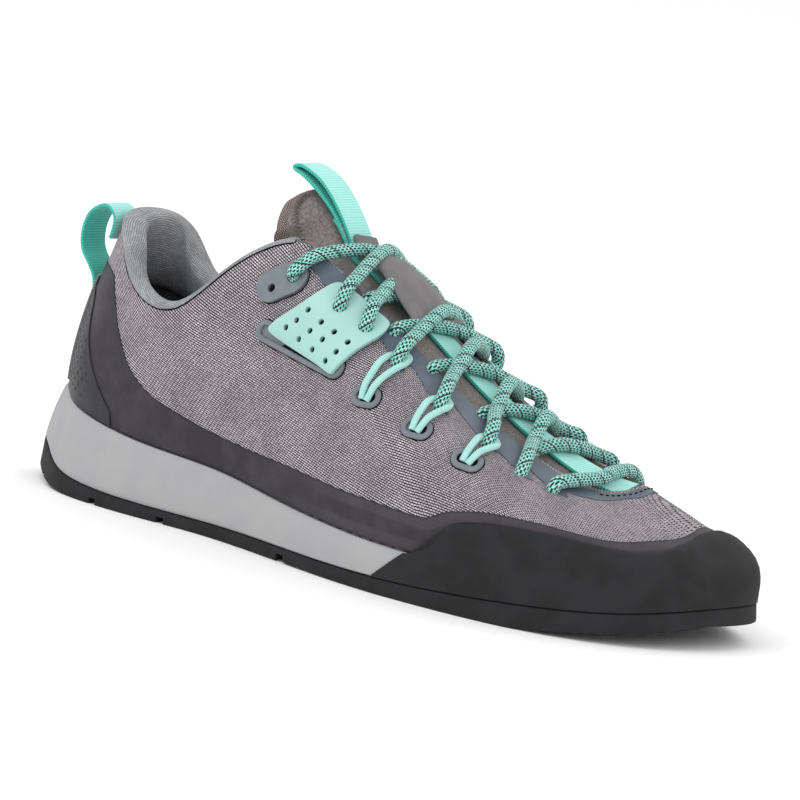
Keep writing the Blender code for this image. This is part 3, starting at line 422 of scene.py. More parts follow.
def emboss(tree, shader, height, depth, under=None):
    """Bump of a depth in millimetres."""
    inputs = {"Height": height, "Distance": depth / 1000.0, "Strength": 1.0}
    if under:
        inputs["Normal"] = under.outputs[0]
    bump = node(tree, "Bump", inputs)
    tree.links.new(bump.outputs[0], shader.inputs["Normal"])


def knit_finish(name, light, pale, dark, cell, gap, turn, depth):
    """Flat-knitted polyester yarn: staggered stitches with dark gaps, no gloss, a little fuzz.

    cell is the length and height of a stitch and gap the dark line between two rows, in mm. turn is
    the slant of the rows in degrees.
    """
    material, tree, shader = start_material(
        name, light, Roughness=0.95, Sheen_Weight=0.08, Specular_IOR_Level=0.2,
    )
    cloth = node(tree, "UVMap", uv_map="cloth").outputs[0]
    noise = node(tree, "TexNoise", {"Vector": cloth, "Scale": 0.8, "Detail": 2.0})
    wander = node(tree, "VectorMath", {0: noise.outputs["Color"], 1: (0.4, 0.4, 0.0)}, operation="MULTIPLY")
    moved = node(tree, "VectorMath", {0: cloth, 1: wander.outputs[0]}, operation="ADD")
    laid = node(tree, "Mapping", {"Vector": moved.outputs[0], "Rotation": (0.0, 0.0, math.radians(turn))})
    # Stretched along the rows, so that the gaps between two stitches are half those between rows
    spread = node(tree, "Mapping", {"Vector": laid.outputs[0], "Scale": (2.0, 1.0, 1.0)})
    stitches = node(tree, "TexBrick", {
        "Vector": spread.outputs[0], "Scale": 0.5, "Color1": linear(light), "Color2": linear(pale),
        "Mortar": linear(dark), "Mortar Size": gap / 4.0, "Mortar Smooth": 0.35, "Bias": 0.0,
        "Brick Width": cell[0], "Row Height": cell[1] / 2.0,
    }, offset=0.5, offset_frequency=2)
    worn = patchy(tree, (1.0, 1.0, 1.0, 1.0), (0.84, 0.83, 0.84, 1.0), 14.0)
    shade = node(
        tree, "Mix", {0: 1.0, 6: stitches.outputs["Color"], 7: worn}, data_type="RGBA",
        blend_type="MULTIPLY",
    )
    tree.links.new(shade.outputs[2], shader.inputs["Base Color"])
    raised = node(tree, "Math", {0: 1.0, 1: stitches.outputs["Fac"]}, operation="SUBTRACT")
    emboss(tree, shader, raised.outputs[0], depth)
    return material


def grained(name, colour, other, patch, grain, depth, **shader_values):
    """Moulded or cast plastic: two close shades in patches and a fine raised grain."""
    material, tree, shader = start_material(name, colour, **shader_values)
    shade = patchy(tree, linear(colour), linear(other), patch)
    tree.links.new(shade, shader.inputs["Base Color"])
    place = node(tree, "TexCoord").outputs["Object"]
    fine = node(tree, "TexNoise", {
        "Vector": place, "Scale": 1000.0 / grain, "Detail": 4.0, "Roughness": 0.6,
    })
    emboss(tree, shader, fine.outputs["Fac"], depth)
    return material


def make_film_material():
    """Welded TPU film over knit: satin, with the yarn showing through and a pressed rim."""
    material, tree, shader = start_material(
        "welded_film_charcoal", "#38343a", Roughness=0.6, Specular_IOR_Level=0.25,
    )
    shade = patchy(tree, linear("#353137"), linear("#3f3b41"), 9.0)
    rim = node(tree, "Attribute", attribute_name="rim").outputs["Fac"]
    place = node(tree, "TexCoord").outputs["Object"]
    parts = node(tree, "SeparateXYZ", {"Vector": place})
    # From the arch forward, the 4 mm along the edge are paler
    forward = node(tree, "MapRange", {"Value": parts.outputs["X"], "From Min": -0.01, "From Max": 0.02})
    band = node(tree, "MapRange", {
        "Value": rim, "From Min": 3.6, "From Max": 4.4, "To Min": 0.4, "To Max": 0.0,
    })
    shown = node(tree, "Math", {0: band.outputs[0], 1: forward.outputs[0]}, operation="MULTIPLY")
    paler = node(tree, "Mix", {0: shown.outputs[0], 6: shade, 7: linear("#504b50")}, data_type="RGBA")
    # The pressed rim is a dark line half a millimetre wide
    line = node(tree, "MapRange", {
        "Value": rim, "From Min": 0.35, "From Max": 0.75, "To Min": 0.6, "To Max": 0.0,
    })
    edged = node(tree, "Mix", {
        0: line.outputs[0], 6: paler.outputs[2], 7: linear("#242125"),
    }, data_type="RGBA")
    tree.links.new(edged.outputs[2], shader.inputs["Base Color"])
    cloth = node(tree, "UVMap", uv_map="cloth").outputs[0]
    yarn = node(tree, "TexBrick", {
        "Vector": cloth, "Scale": 0.5, "Mortar Size": 0.06, "Mortar Smooth": 1.0, "Brick Width": 0.42,
        "Row Height": 0.34,
    })
    yarn_bump = node(tree, "Bump", {"Height": yarn.outputs["Fac"], "Distance": -0.00006})
    fine = node(tree, "TexNoise", {"Vector": cloth, "Scale": 3.0, "Detail": 3.0})
    emboss(tree, shader, fine.outputs["Fac"], 0.12, under=yarn_bump)
    return material


def ribbed(name, colour, shade, shadow, pitch, along_axis, depth, roughness):
    """Woven polyester tape: a fold every pitch millimetres, with painted shade in the groove between ribs, so
    the crown of each rib is paler.
    """
    material, tree, shader = start_material(name, colour, Roughness=roughness, Sheen_Weight=0.2)
    cloth = node(tree, "UVMap", uv_map="cloth").outputs[0]
    turn = math.tau / pitch
    parts = node(tree, "SeparateXYZ", {"Vector": cloth})
    phase = node(tree, "Math", {0: parts.outputs[along_axis], 1: turn}, operation="MULTIPLY")
    wave = node(tree, "Math", {0: phase.outputs[0]}, operation="COSINE")
    crown = node(tree, "MapRange", {"Value": wave.outputs[0], "From Min": -1.0, "From Max": 0.3})
    yarn = node(tree, "Mapping", {"Vector": cloth, "Scale": (2.2, 4.5, 1.0)})
    body = patchy(tree, linear(colour), linear(shade), 1.0, 0.35, 0.65, 2.0, vector=yarn.outputs[0])
    # Painted shade: the shadow colour fills the groove between two ribs and gives way to the yarn colour
    # towards each crown
    made = node(tree, "Mix", {0: crown.outputs[0], 6: linear(shadow), 7: body}, data_type="RGBA")
    tree.links.new(made.outputs[2], shader.inputs["Base Color"])
    emboss(tree, shader, wave.outputs[0], depth)
    return material


def make_lace_material():
    """Round braid of mint polyester with a black yarn that shows as short staggered dashes."""
    material, tree, shader = start_material("lace_braid_mint", "#63d8c5", Roughness=0.8, Sheen_Weight=0.2)
    cloth = node(tree, "UVMap", uv_map="cloth").outputs[0]
    braid = node(tree, "TexBrick", {
        "Vector": cloth, "Scale": 0.5, "Color1": (1.0, 1.0, 1.0, 1.0), "Color2": (0.0, 0.0, 0.0, 1.0),
        "Mortar Size": 0.030, "Mortar Smooth": 0.4, "Bias": 0.0, "Brick Width": 0.38, "Row Height": 0.36,
        "Mortar": (0.5, 0.5, 0.5, 1.0),
    }, offset=0.5, offset_frequency=2)
    parts = node(tree, "SeparateXYZ", {"Vector": cloth})
    row = node(tree, "Math", {0: parts.outputs["Y"], 1: 0.86}, operation="DIVIDE")
    whole = node(tree, "Math", {0: row.outputs[0]}, operation="FLOOR")
    half = node(tree, "Math", {0: whole.outputs[0], 1: 0.5}, operation="MULTIPLY")
    along = node(tree, "Math", {0: parts.outputs["X"], 1: 1.7}, operation="DIVIDE")
    shifted = node(tree, "Math", {0: along.outputs[0], 1: half.outputs[0]}, operation="ADD")
    part = node(tree, "Math", {0: shifted.outputs[0]}, operation="FRACT")
    across = node(tree, "Math", {0: row.outputs[0]}, operation="FRACT")
    near_long = node(tree, "Math", {0: part.outputs[0], 1: 0.5, 2: 0.29}, operation="COMPARE")
    near_wide = node(tree, "Math", {0: across.outputs[0], 1: 0.5, 2: 0.34}, operation="COMPARE")
    dash = node(tree, "Math", {0: near_long.outputs[0], 1: near_wide.outputs[0]}, operation="MULTIPLY")
    # One black yarn winds round the braid and shows as a slanting mark every few millimetres
    lean = node(
        tree, "Math", {0: parts.outputs["Y"], 1: 0.9, 2: parts.outputs["X"]}, operation="MULTIPLY_ADD",
    )
    wound = node(tree, "Math", {0: lean.outputs[0], 1: 6.2}, operation="DIVIDE")
    turn = node(tree, "Math", {0: wound.outputs[0]}, operation="FRACT")
    tracer = node(tree, "Math", {0: turn.outputs[0], 1: 0.5, 2: 0.05}, operation="COMPARE")
    black = node(tree, "Math", {0: dash.outputs[0], 1: tracer.outputs[0]}, operation="MAXIMUM")
    mint = patchy(tree, linear("#7fdccd"), linear("#c2f5ec"), 1.6, 0.35, 0.65, 2.0, vector=cloth)
    # Painted shade: the gaps between the braid's knots are teal, standing for the shade in its recesses
    mint_with_shaded_gaps = node(tree, "Mix", {0: braid.outputs["Fac"], 6: mint, 7: linear("#2ba594")}, data_type="RGBA")
    made = node(tree, "Mix", {
        0: black.outputs[0], 6: mint_with_shaded_gaps.outputs[2], 7: linear("#0c1514"),
    }, data_type="RGBA")
    tree.links.new(made.outputs[2], shader.inputs["Base Color"])
    raised = node(tree, "Math", {0: 1.0, 1: braid.outputs["Fac"]}, operation="SUBTRACT")
    emboss(tree, shader, raised.outputs[0], 0.16)
    return material


def make_tongue_material():
    """Brushed microfibre: mottled and soft, with a knitted mesh rim outside the zigzag."""
    material, tree, shader = start_material(
        "brushed_microfibre", "#6f6765", Roughness=0.95, Sheen_Weight=0.4,
    )
    place = node(tree, "TexCoord").outputs["Object"]
    suede = patchy(tree, linear("#5f5856"), linear("#857c79"), 0.8, 0.35, 0.65, 4.0)
    cloth = node(tree, "UVMap", uv_map="cloth").outputs[0]
    laid = node(tree, "Mapping", {"Vector": cloth, "Rotation": (0.0, 0.0, math.radians(40.0))})
    mesh = node(tree, "TexBrick", {
        "Vector": laid.outputs[0], "Scale": 0.5, "Color1": linear("#a0908c"), "Color2": linear("#8a7b78"),
        "Mortar": linear("#30282a"), "Mortar Size": 0.08, "Mortar Smooth": 0.5, "Brick Width": 0.45,
        "Row Height": 0.32,
    })
    rim = node(tree, "Attribute", attribute_name="rim").outputs["Fac"]
    inside = node(tree, "MapRange", {"Value": rim, "From Min": 3.8, "From Max": 4.3})
    made = node(tree, "Mix", {0: inside.outputs[0], 6: mesh.outputs["Color"], 7: suede}, data_type="RGBA")
    tree.links.new(made.outputs[2], shader.inputs["Base Color"])
    fuzz = node(tree, "TexNoise", {"Vector": place, "Scale": 2200.0, "Detail": 5.0})
    emboss(tree, shader, fuzz.outputs["Fac"], 0.25)
    return material


# Knitted polyester face: matt, pale stitches in slanting rows with near-black gaps
KNIT = knit_finish("upper_knit_grey", "#b4abb0", "#d2c9cf", "#0f0c10", (1.05, 0.95), 0.45, 12.0, 0.22)
# Ribbed polyester over the collar's foam: smoother, long low stitches and little contrast
COLLAR_KNIT = knit_finish("collar_rib_knit", "#9b9da0", "#b1b3b5", "#67686b", (2.4, 0.8), 0.26, 0.0, 0.22)
# Polyester lining mesh: dark and square, seen only inside the shoe
LINING = knit_finish("lining_mesh_grey", "#55565a", "#66686b", "#26272a", (1.1, 1.1), 0.3, 45.0, 0.2)
# Cut edge of the knit: brown yarn ends that catch no gloss
EDGE_FUZZ = grained(
    "cut_edge_fuzz_brown", "#3a2e2a", "#57473f", 1.2, 0.25, 0.30, Roughness=1.0, Sheen_Weight=0.3,
)
FILM_FINISH = make_film_material()
# Moulded polyurethane of the heel panel: near black, with a faint satin
COUNTER = grained(
    "heel_counter_tpu", "#29292c", "#313134", 8.0, 0.5, 0.10, Roughness=0.55, Specular_IOR_Level=0.3,
)
# Woven polyester strip up the heel: mid grey, ribbed across
HEEL_STRIP = ribbed("heel_strip_grey", "#8f8f93", "#7c7d81", "#5c5d61", 0.9, "Y", 0.08, 0.75)
# Moulded EVA foam: pale, even and dull, with a faint skin
FOAM = grained(
    "midsole_eva_foam", "#a5a5a6", "#a2a2a4", 12.0, 0.6, 0.10, Roughness=0.8, Specular_IOR_Level=0.2,
)
# Moulded sticky rubber: black and dull, lightly dusted
RUBBER = grained(
    "rand_rubber_black", "#1f1f21", "#262628", 10.0, 0.45, 0.12, Roughness=0.75, Specular_IOR_Level=0.25,
)
# Welded polyurethane film of the eyestay: smooth slate blue with a soft shine
EYESTAY = grained(
    "eyestay_film_slate", "#59616e", "#525a66", 10.0, 0.35, 0.05, Roughness=0.5, Specular_IOR_Level=0.3,
)
# Moulded polyurethane fittings: smooth and satin, in grey and in mint
MOULDED_GREY = grained(
    "moulded_tpu_grey", "#6d7479", "#757b80", 6.0, 0.4, 0.04, Roughness=0.5, Specular_IOR_Level=0.3,
)
MOULDED_MINT = grained(
    "moulded_tpu_mint", "#a0ccc5", "#9cc8c1", 9.0, 0.5, 0.04, Roughness=0.5, Specular_IOR_Level=0.3,
)
# Soft moulded rubber of the keeper: warm grey, duller than the fittings
KEEPER_RUBBER = grained(
    "keeper_rubber_grey", "#6a6768", "#706d6e", 5.0, 0.4, 0.05, Roughness=0.6, Specular_IOR_Level=0.25,
)
# Grosgrain polyester webbing: pale mint face; its underside is a deeper teal copy, painted shade
WEBBING_MINT = ribbed("webbing_mint", "#a9e2da", "#9ad8cf", "#7fcdc3", 0.95, "X", 0.0, 0.8)
WEBBING_SHADED_TEAL = ribbed("webbing_underside_painted_shade", "#45c4b3", "#2fb3a2", "#1f9283", 0.95, "X", 0.0, 0.8)
# Narrow woven tape of the lace loops: paler, with a finer rib
LOOP_WEBBING = ribbed("loop_cord_mint", "#c0eae4", "#b2e0d9", "#90d0c7", 0.55, "X", 0.02, 0.8)
LACE = make_lace_material()
TONGUE_FINISH = make_tongue_material()
# Polyester sewing thread: matt, dark at the seams and pale grey round the tongue. The black one also colours
# the sheets of painted shade under the lace holders
BLACK_THREAD_AND_SHADE = grained(
    "black_thread_and_painted_shade", "#121214", "#1a1a1d", 2.0, 0.3, 0.05, Roughness=0.9, Specular_IOR_Level=0.1,
)
THREAD_GREY = grained(
    "thread_grey", "#8a8280", "#5d5553", 0.8, 0.3, 0.05, Roughness=0.9, Specular_IOR_Level=0.2,
)


# Mesh helpers


def smooth(points, places):
    """Read a run of points at fractional places on one smooth curve through all of them."""
    points = np.asarray(points, float)
    last = len(points) - 1
    places = np.clip(np.asarray(places, float), 0.0, last)
    start = np.minimum(places.astype(int), last - 1)
    part = (places - start).reshape((-1,) + (1,) * (points.ndim - 1))
    a, b, c, d = (points[np.clip(start + step, 0, last)] for step in (-1, 0, 1, 2))
    a = np.where(start.reshape(part.shape) == 0, 2.0 * b - c, a)
    d = np.where(start.reshape(part.shape) == last - 1, 2.0 * c - b, d)
    bend = 2.0 * a - 5.0 * b + 4.0 * c - d
    return b + 0.5 * part * (c - a + part * (bend + part * (3.0 * (b - c) + d - a)))


def lengths_of(line):
    return np.append(0.0, np.cumsum(np.linalg.norm(np.diff(line, axis=0), axis=1)))


def even_places(line, step):
    """Places along a run of points that are a step apart on the curve, and their distances."""
    fine = np.linspace(0.0, len(line) - 1.0, 24 * len(line))
    length = lengths_of(smooth(line, fine))
    distance = np.linspace(0.0, length[-1], max(3, int(round(length[-1] / step)) + 1))
    return np.interp(distance, length, fine), distance


def unit(vectors):
    return vectors / np.linalg.norm(vectors, axis=-1, keepdims=True)


def sheet(points, wrap=False, laid=None):
    """Mesh through rows of points, low row first, with a cloth map and a rim distance, both in mm.

    laid holds a cloth map of its own for each point.
    """
    points = np.asarray(points, float)
    rows, columns = points.shape[:2]
    mesh_data = bmesh.new()
    bmesh.ops.create_grid(mesh_data, x_segments=columns - 1, y_segments=rows - 1, size=0.5)
    along = 1000.0 * lengths_of(points[rows // 2])
    steps = np.linalg.norm(np.diff(points, axis=0), axis=2)
    climb = 1000.0 * np.concatenate([np.zeros((1, columns)), np.cumsum(steps, axis=0)])
    border = np.minimum(climb, climb[-1] - climb)
    if not wrap:
        border = np.minimum(border, np.minimum(along, along[-1] - along))
    climb = climb - climb[-1]
    cloth = mesh_data.loops.layers.uv.new("cloth")
    rim = mesh_data.verts.layers.float.new("rim")
    spots = []
    for vert in mesh_data.verts:
        column = int(round((vert.co.x + 0.5) * (columns - 1)))
        row = int(round((vert.co.y + 0.5) * (rows - 1)))
        vert.co = points[row, column]
        vert[rim] = border[row, column]
        spots.append((along[column], climb[row, column]) if laid is None else laid[row, column])
    mesh_data.verts.index_update()
    for face in mesh_data.faces:
        for loop in face.loops:
            loop[cloth].uv = spots[loop.vert.index]
    return mesh_data


def joined(parts):
    """One bmesh of several, each merged along its own seams first."""
    whole = bmesh.new()
    for part in parts:
        bmesh.ops.remove_doubles(part, verts=part.verts, dist=2e-6)
        spare = bpy.data.meshes.new("spare")
        part.to_mesh(spare)
        part.free()
        whole.from_mesh(spare)
        bpy.data.meshes.remove(spare)
    return whole


def hidden(name, mesh_data):
    mesh = bpy.data.meshes.new(name)
    mesh_data.to_mesh(mesh)
    mesh_data.free()
    made = bpy.data.objects.new(name, mesh)
    bpy.context.scene.collection.objects.link(made)
    made.hide_render = True
    return made


def finished(name, mesh_data, finishes, replaced=(), wall=0.0, side=1.0, rounding=0.0, cutter=None,
             closed=False):
    """Make the object, apply its wall, holes and rounded edges, and hand it to the frame."""
    if closed:
        bmesh.ops.holes_fill(mesh_data, edges=mesh_data.edges)
    bmesh.ops.remove_doubles(mesh_data, verts=mesh_data.verts, dist=2e-6)
    if closed:
        bmesh.ops.recalc_face_normals(mesh_data, faces=mesh_data.faces)
    mesh = bpy.data.meshes.new(name)
    mesh_data.to_mesh(mesh)
    mesh_data.free()
    for finish in finishes:
        mesh.materials.append(finish)
    made = bpy.data.objects.new(name, mesh)
    bpy.context.scene.collection.objects.link(made)
    if wall:
        thick = made.modifiers.new("wall", "SOLIDIFY")
        thick.thickness = wall
        thick.offset = side
        thick.material_offset = min(1, len(finishes) - 1)
        thick.material_offset_rim = 2 if len(finishes) > 2 else 0
    if cutter:
        holes = made.modifiers.new("holes", "BOOLEAN")
        holes.operation = "DIFFERENCE"
        holes.solver = "EXACT"
        holes.object = cutter
    if rounding:
        soft = made.modifiers.new("soft_edges", "BEVEL")
        soft.width = rounding
        soft.segments = 2
        soft.limit_method = "ANGLE"
        soft.angle_limit = math.radians(35.0)
    if made.modifiers:
        bpy.context.view_layer.update()
        shaped = bpy.data.meshes.new_from_object(made.evaluated_get(bpy.context.evaluated_depsgraph_get()))
        made.modifiers.clear()
        made.data = shaped
        shaped.name = name
    if cutter:
        bpy.data.objects.remove(cutter, do_unlink=True)
    made.data.shade_smooth()
    made.data.set_sharp_from_angle(angle=math.radians(40.0))
    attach(made, "root")
    if replaced:
        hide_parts(*replaced)
    return made


def section_sheet(line, across, up, section, heights=0.0):
    """Closed section, given as pairs across and up, carried along a line."""
    rows = []
    for a, b in list(section) + [section[0]]:
        high = np.asarray(b) + np.sign(b) * heights
        rows.append(line + across * np.asarray(a)[..., None] + up * high[..., None])
    return sheet(np.array(rows))


def tube(points, radius, sides=16):
    """Round cord through evenly spaced points, its ring carried along without twist."""
    points = np.asarray(points, float)
    run = unit(np.gradient(points, axis=0))
    across = np.zeros_like(points)
    guide = np.cross(run[0], (0.3, 0.9, 0.2))
    for index, way in enumerate(run):
        guide = guide - way * float(guide @ way)
        guide = guide / np.linalg.norm(guide)
        across[index] = guide
    over = np.cross(across, run)
    radius = np.broadcast_to(radius, len(points))[:, None]
    rows = []
    for step in range(sides + 1):
        angle = math.tau * (step % sides) / sides
        rows.append(points + radius * (math.cos(angle) * across + math.sin(angle) * over))
    return sheet(np.array(rows))


def standing(point, run, up):
    """Matrix that puts a shape's X along run and its Z along up, at a point."""
    run = unit(np.asarray(run, float))
    side = unit(np.cross(up, run))
    up = np.cross(run, side)
    turn = Matrix((run, side, up)).transposed().to_4x4()
    return Matrix.Translation(Vector(point)) @ turn


def stitch_line(points, normals, pitch, length, radius):
    """Row of thread stitches along a line, one every pitch."""
    places, _ = even_places(points, pitch)
    spots = smooth(points, places)
    ups = smooth(normals, places)
    runs = np.gradient(spots, axis=0)
    mesh_data = bmesh.new()
    for spot, run, up in zip(spots, runs, ups):
        shape = Matrix.Diagonal((length / 2.0, radius, radius, 1.0))
        bmesh.ops.create_uvsphere(
            mesh_data, u_segments=6, v_segments=4, radius=1.0, matrix=standing(spot, run, up) @ shape,
        )
    return mesh_data


# The upper and what is welded to it


VAMP_START = 8.0
VAMP_MIDDLE = 0.084 * BALL_WIDTH - ORIGIN[1]


def knit_map(u, points):
    """Where the stitches lie, in mm: rows along the sides that run on in line over the toe."""
    half = half_of(u)
    columns = len(u)
    middle = points[len(points) // 2]
    arc = np.linalg.norm(np.diff(middle, axis=0), axis=1)
    ahead = np.where(u[1:] <= TOE, 1.0, -1.0) * np.diff(points[..., 0], axis=1)
    bent = np.interp(0.5 * (half[1:] + half[:-1]), (3.0, 5.0), (1.0, 0.0))
    across = np.where(u[1:] <= TOE, 1.0, -1.0) * (bent * arc + (1.0 - bent) * ahead)
    across = np.concatenate([np.zeros((len(points), 1)), np.cumsum(across, axis=1)], axis=1)
    slide = np.diff(across, axis=0)
    steps = np.linalg.norm(np.diff(points, axis=0), axis=2)
    rises = np.sqrt(np.maximum(steps**2 - slide**2, 0.0))
    climb = np.concatenate([np.zeros((1, columns)), np.cumsum(rises, axis=0)])
    start = int(np.argmin(np.abs(u - VAMP_START)))
    fold = climb[-1, start] + abs(points[-1, start, 1] - VAMP_MIDDLE)
    vamp = fold - np.abs(points[-1, :, 1] - VAMP_MIDDLE) - (climb[-1] - climb)
    height = climb + (vamp - climb) * np.clip((half - VAMP_START + 1.0) / 2.0, 0.0, 1.0)
    height = np.where(u > TOE, 2.0 * fold - height, height)
    return 1000.0 * np.stack([across, height], axis=-1)


ROUND_POINTS = 441


def make_upper():
    u = np.linspace(0.0, ROUND, ROUND_POINTS)
    points = np.array([surface(u, height) for height in np.linspace(0.0, 1.0, 57)])
    mesh_data = sheet(points, True, knit_map(u, points))
    finished("upper_knit", mesh_data, (KNIT, LINING, EDGE_FUZZ), ("upper",), UPPER_WALL, -1.0)


def overlay(name, u, low, high, lift, wall, rows, finishes, replaced, wrap=False, rounding=0.0):
    points = [surface(u, low + (high - low) * share, lift) for share in np.linspace(0.0, 1.0, rows)]
    return finished(name, sheet(points, wrap), finishes, replaced, wall, 1.0, rounding)


FILM_LIFT = -0.0001
FILM_TOP = FILM_LIFT + FILM
COUNTER_TOP = FILM_TOP + COUNTER_PANEL


def make_film():
    u = np.linspace(0.0, ROUND, ROUND_POINTS)
    overlay(
        "side_film", u, 0.004, edge_value(FILM_EDGE, u), FILM_LIFT, FILM, 15, (FILM_FINISH,),
        ("foxing_film",), wrap=True,
    )


def make_counter():
    u = np.linspace(-2.6, 2.6, 131)
    high = 0.62 - 0.50 * (np.abs(u) / 2.6) ** 3
    overlay(
        "heel_panel", u, 0.012, high, FILM_TOP, COUNTER_PANEL, 25, (COUNTER,), ("heel_counter",),
        rounding=0.0002,
    )
    mesh_data = bmesh.new()
    for row, v in enumerate(np.arange(0.10, 0.52, 0.052)):
        for place in np.arange(0.62, 1.95, 0.22):
            half = place + 0.11 * (row % 2)
            if v > 0.58 - 0.50 * (half / 2.6) ** 3:
                continue
            for u in (half, -half):
                up = normal(u, v)
                matrix = standing(surface(u, v, COUNTER_TOP), np.cross(up, RISE), up)
                shape = Matrix.Diagonal((0.0007, 0.0007, 0.0002, 1.0))
                bmesh.ops.create_uvsphere(
                    mesh_data, u_segments=10, v_segments=6, radius=1.0, matrix=matrix @ shape,
                )
    finished("heel_counter_dots", mesh_data, (COUNTER,))


def make_heel_tape():
    u = np.linspace(-0.42, 0.42, 19)
    overlay(
        "heel_strip", u, 0.012, 0.66, COUNTER_TOP, 0.8 * HEEL_TAPE, 70, (HEEL_STRIP,),
        ("heel_tape",), rounding=0.0003,
    )


TAB_RADII = (0.0034, 0.0036, 0.0036, 0.0038, 0.0038)


def make_eyestay():
    """Strip along the throat with a round tab under each lower lace row, sewn at its toe end."""
    u = np.linspace(6.35, ROUND - 6.35, 1001)
    low = edge_value(EYESTAY_LOW, u)
    for (centre_u, centre_v), radius in zip(LACE_ROWS[3:], TAB_RADII):
        along = skin(centre_u + NUDGE, centre_v) - skin(centre_u - NUDGE, centre_v)
        climb = skin(centre_u, centre_v + NUDGE) - skin(centre_u, centre_v - NUDGE)
        along, climb = (np.linalg.norm(step) / (2.0 * NUDGE) for step in (along, climb))
        aside = np.abs(half_of(u) - centre_u) * along / radius
        tab = centre_v - np.sqrt(np.clip(1.0 - aside * aside, 0.15, 1.0)) * radius / climb
        low = low + np.minimum(tab - low, 0.0) / (1.0 + aside**7)
    high = edge_value(EYESTAY_HIGH, u)
    overlay("eyestay_film", u, low, high, FILM_LIFT, FILM, 16, (EYESTAY,), ("eyestay",))
    seam = np.linspace(9.95, ROUND - 9.95, 81)
    share = edge_value(EYESTAY_LOW, seam) * 0.45 + edge_value(EYESTAY_HIGH, seam) * 0.55
    line = surface(seam, share, FILM_TOP + 0.0001)
    stitches = stitch_line(line, normal(seam, share), 0.0021, 0.0014, 0.00028)
    finished("eyestay_stitches", stitches, (BLACK_THREAD_AND_SHADE,))


# Sole


def slanted(stations, height):
    lean = -0.27 + 0.35 * height
    near = np.clip(1.0 - np.abs(stations - 6.72) / 1.2, 0.0, 1.0)
    return stations + lean * near


def slab(walls, shares):
    """Ring of section rows: up the outer side, over the top, down the inner side and back below."""
    lateral = [wall(places) for wall, places in walls]
    medial = [wall(ROUND - places) for wall, places in walls]
    rows = list(lateral)
    rows += [lateral[-1] + (medial[-1] - lateral[-1]) * share for share in shares]
    rows += medial[::-1]
    rows += [medial[0] + (lateral[0] - medial[0]) * share for share in shares]
    return sheet(np.array(rows + [rows[0]]))


SOLE_STATIONS = np.concatenate([
    np.linspace(0.0, 6.6, 120), np.linspace(6.64, 7.0, 10), np.linspace(7.1, TOE, 50),
])
ACROSS = np.linspace(0.1, 0.9, 7)


def make_midsole():
    walls = []
    for share in (0.0, 0.04, 0.1, 0.25, 0.4, 0.55, 0.7, 0.85, 0.94, 1.0):
        def wall(u, share=share):
            foot = SOLE.at(u)[..., 5]
            rim = 0.5 * SOLE_FLARE
            soft = 0.0005 * (share in (0.0, 1.0))
            spread = foot + (rim - foot) * share + 0.8 * SOLE_FLARE * share * (1.0 - share) - soft
            end = RAND_START - 0.16 + 0.35 * share
            shown = np.clip((end - half_of(u)) / 0.10, 0.0, 1.0)
            low = outsole_top(u) + CLEARANCE
            high = feather(u)[..., 2] - CLEARANCE
            return sole_point(u, spread * shown, low + (high - low) * share)

        walls.append((wall, slanted(SOLE_STATIONS, share)))
    finished("midsole_foam", slab(walls, ACROSS), (FOAM,), ("midsole",), closed=True)


def make_insole():
    inset = -(UPPER_WALL + 2.0 * CLEARANCE)
    walls = []
    for share, back in ((0.0, 0.0006), (0.2, 0.0), (0.8, 0.0), (1.0, 0.0010)):
        def wall(u, share=share, back=back):
            tuck = -0.6 * INSOLE * np.clip((half_of(u) - 8.0) / 1.5, 0.0, 1.0) * share
            return sole_point(u, inset + tuck - back, feather(u)[..., 2] + INSOLE * share)

        walls.append((wall, np.linspace(0.0, TOE, 130)))
    finished("insole_board", slab(walls, ACROSS), (LINING,), ("insole",), closed=True)


HEEL_BLOCK = (0.0, 0.3, 0.65, 1.0, 1.2, 1.3)
LUG_PITCH = 0.45
LUG_SHARE = 0.78
LUG_ROWS = 18
TOE_BLOCK = (9.7, 10.0, 10.35, 10.7, 11.0)
LANES = (0.0, 0.15, 0.19, 0.48, 0.52, 0.81, 0.85, 1.0)
EDGE_NOTCHES = (2, 4, 8)
ARCH = (5.3, 6.3)
CUTS = 4


def is_lug(cell, lane):
    """True where the tread stands down to the ground."""
    heel_cells = len(HEEL_BLOCK) - 1
    if cell < heel_cells - 1 or cell >= heel_cells + 2 * LUG_ROWS:
        return True
    if cell == heel_cells - 1:
        return False
    row, groove = divmod(cell - heel_cells, 2)
    if lane in (0, len(LANES) - 2):
        return not (groove and row in EDGE_NOTCHES)
    under_arch = ARCH[0] < HEEL_BLOCK[-1] + row * LUG_PITCH < ARCH[1]
    return not groove and lane % 2 == 0 and not under_arch and row != LUG_ROWS - 1


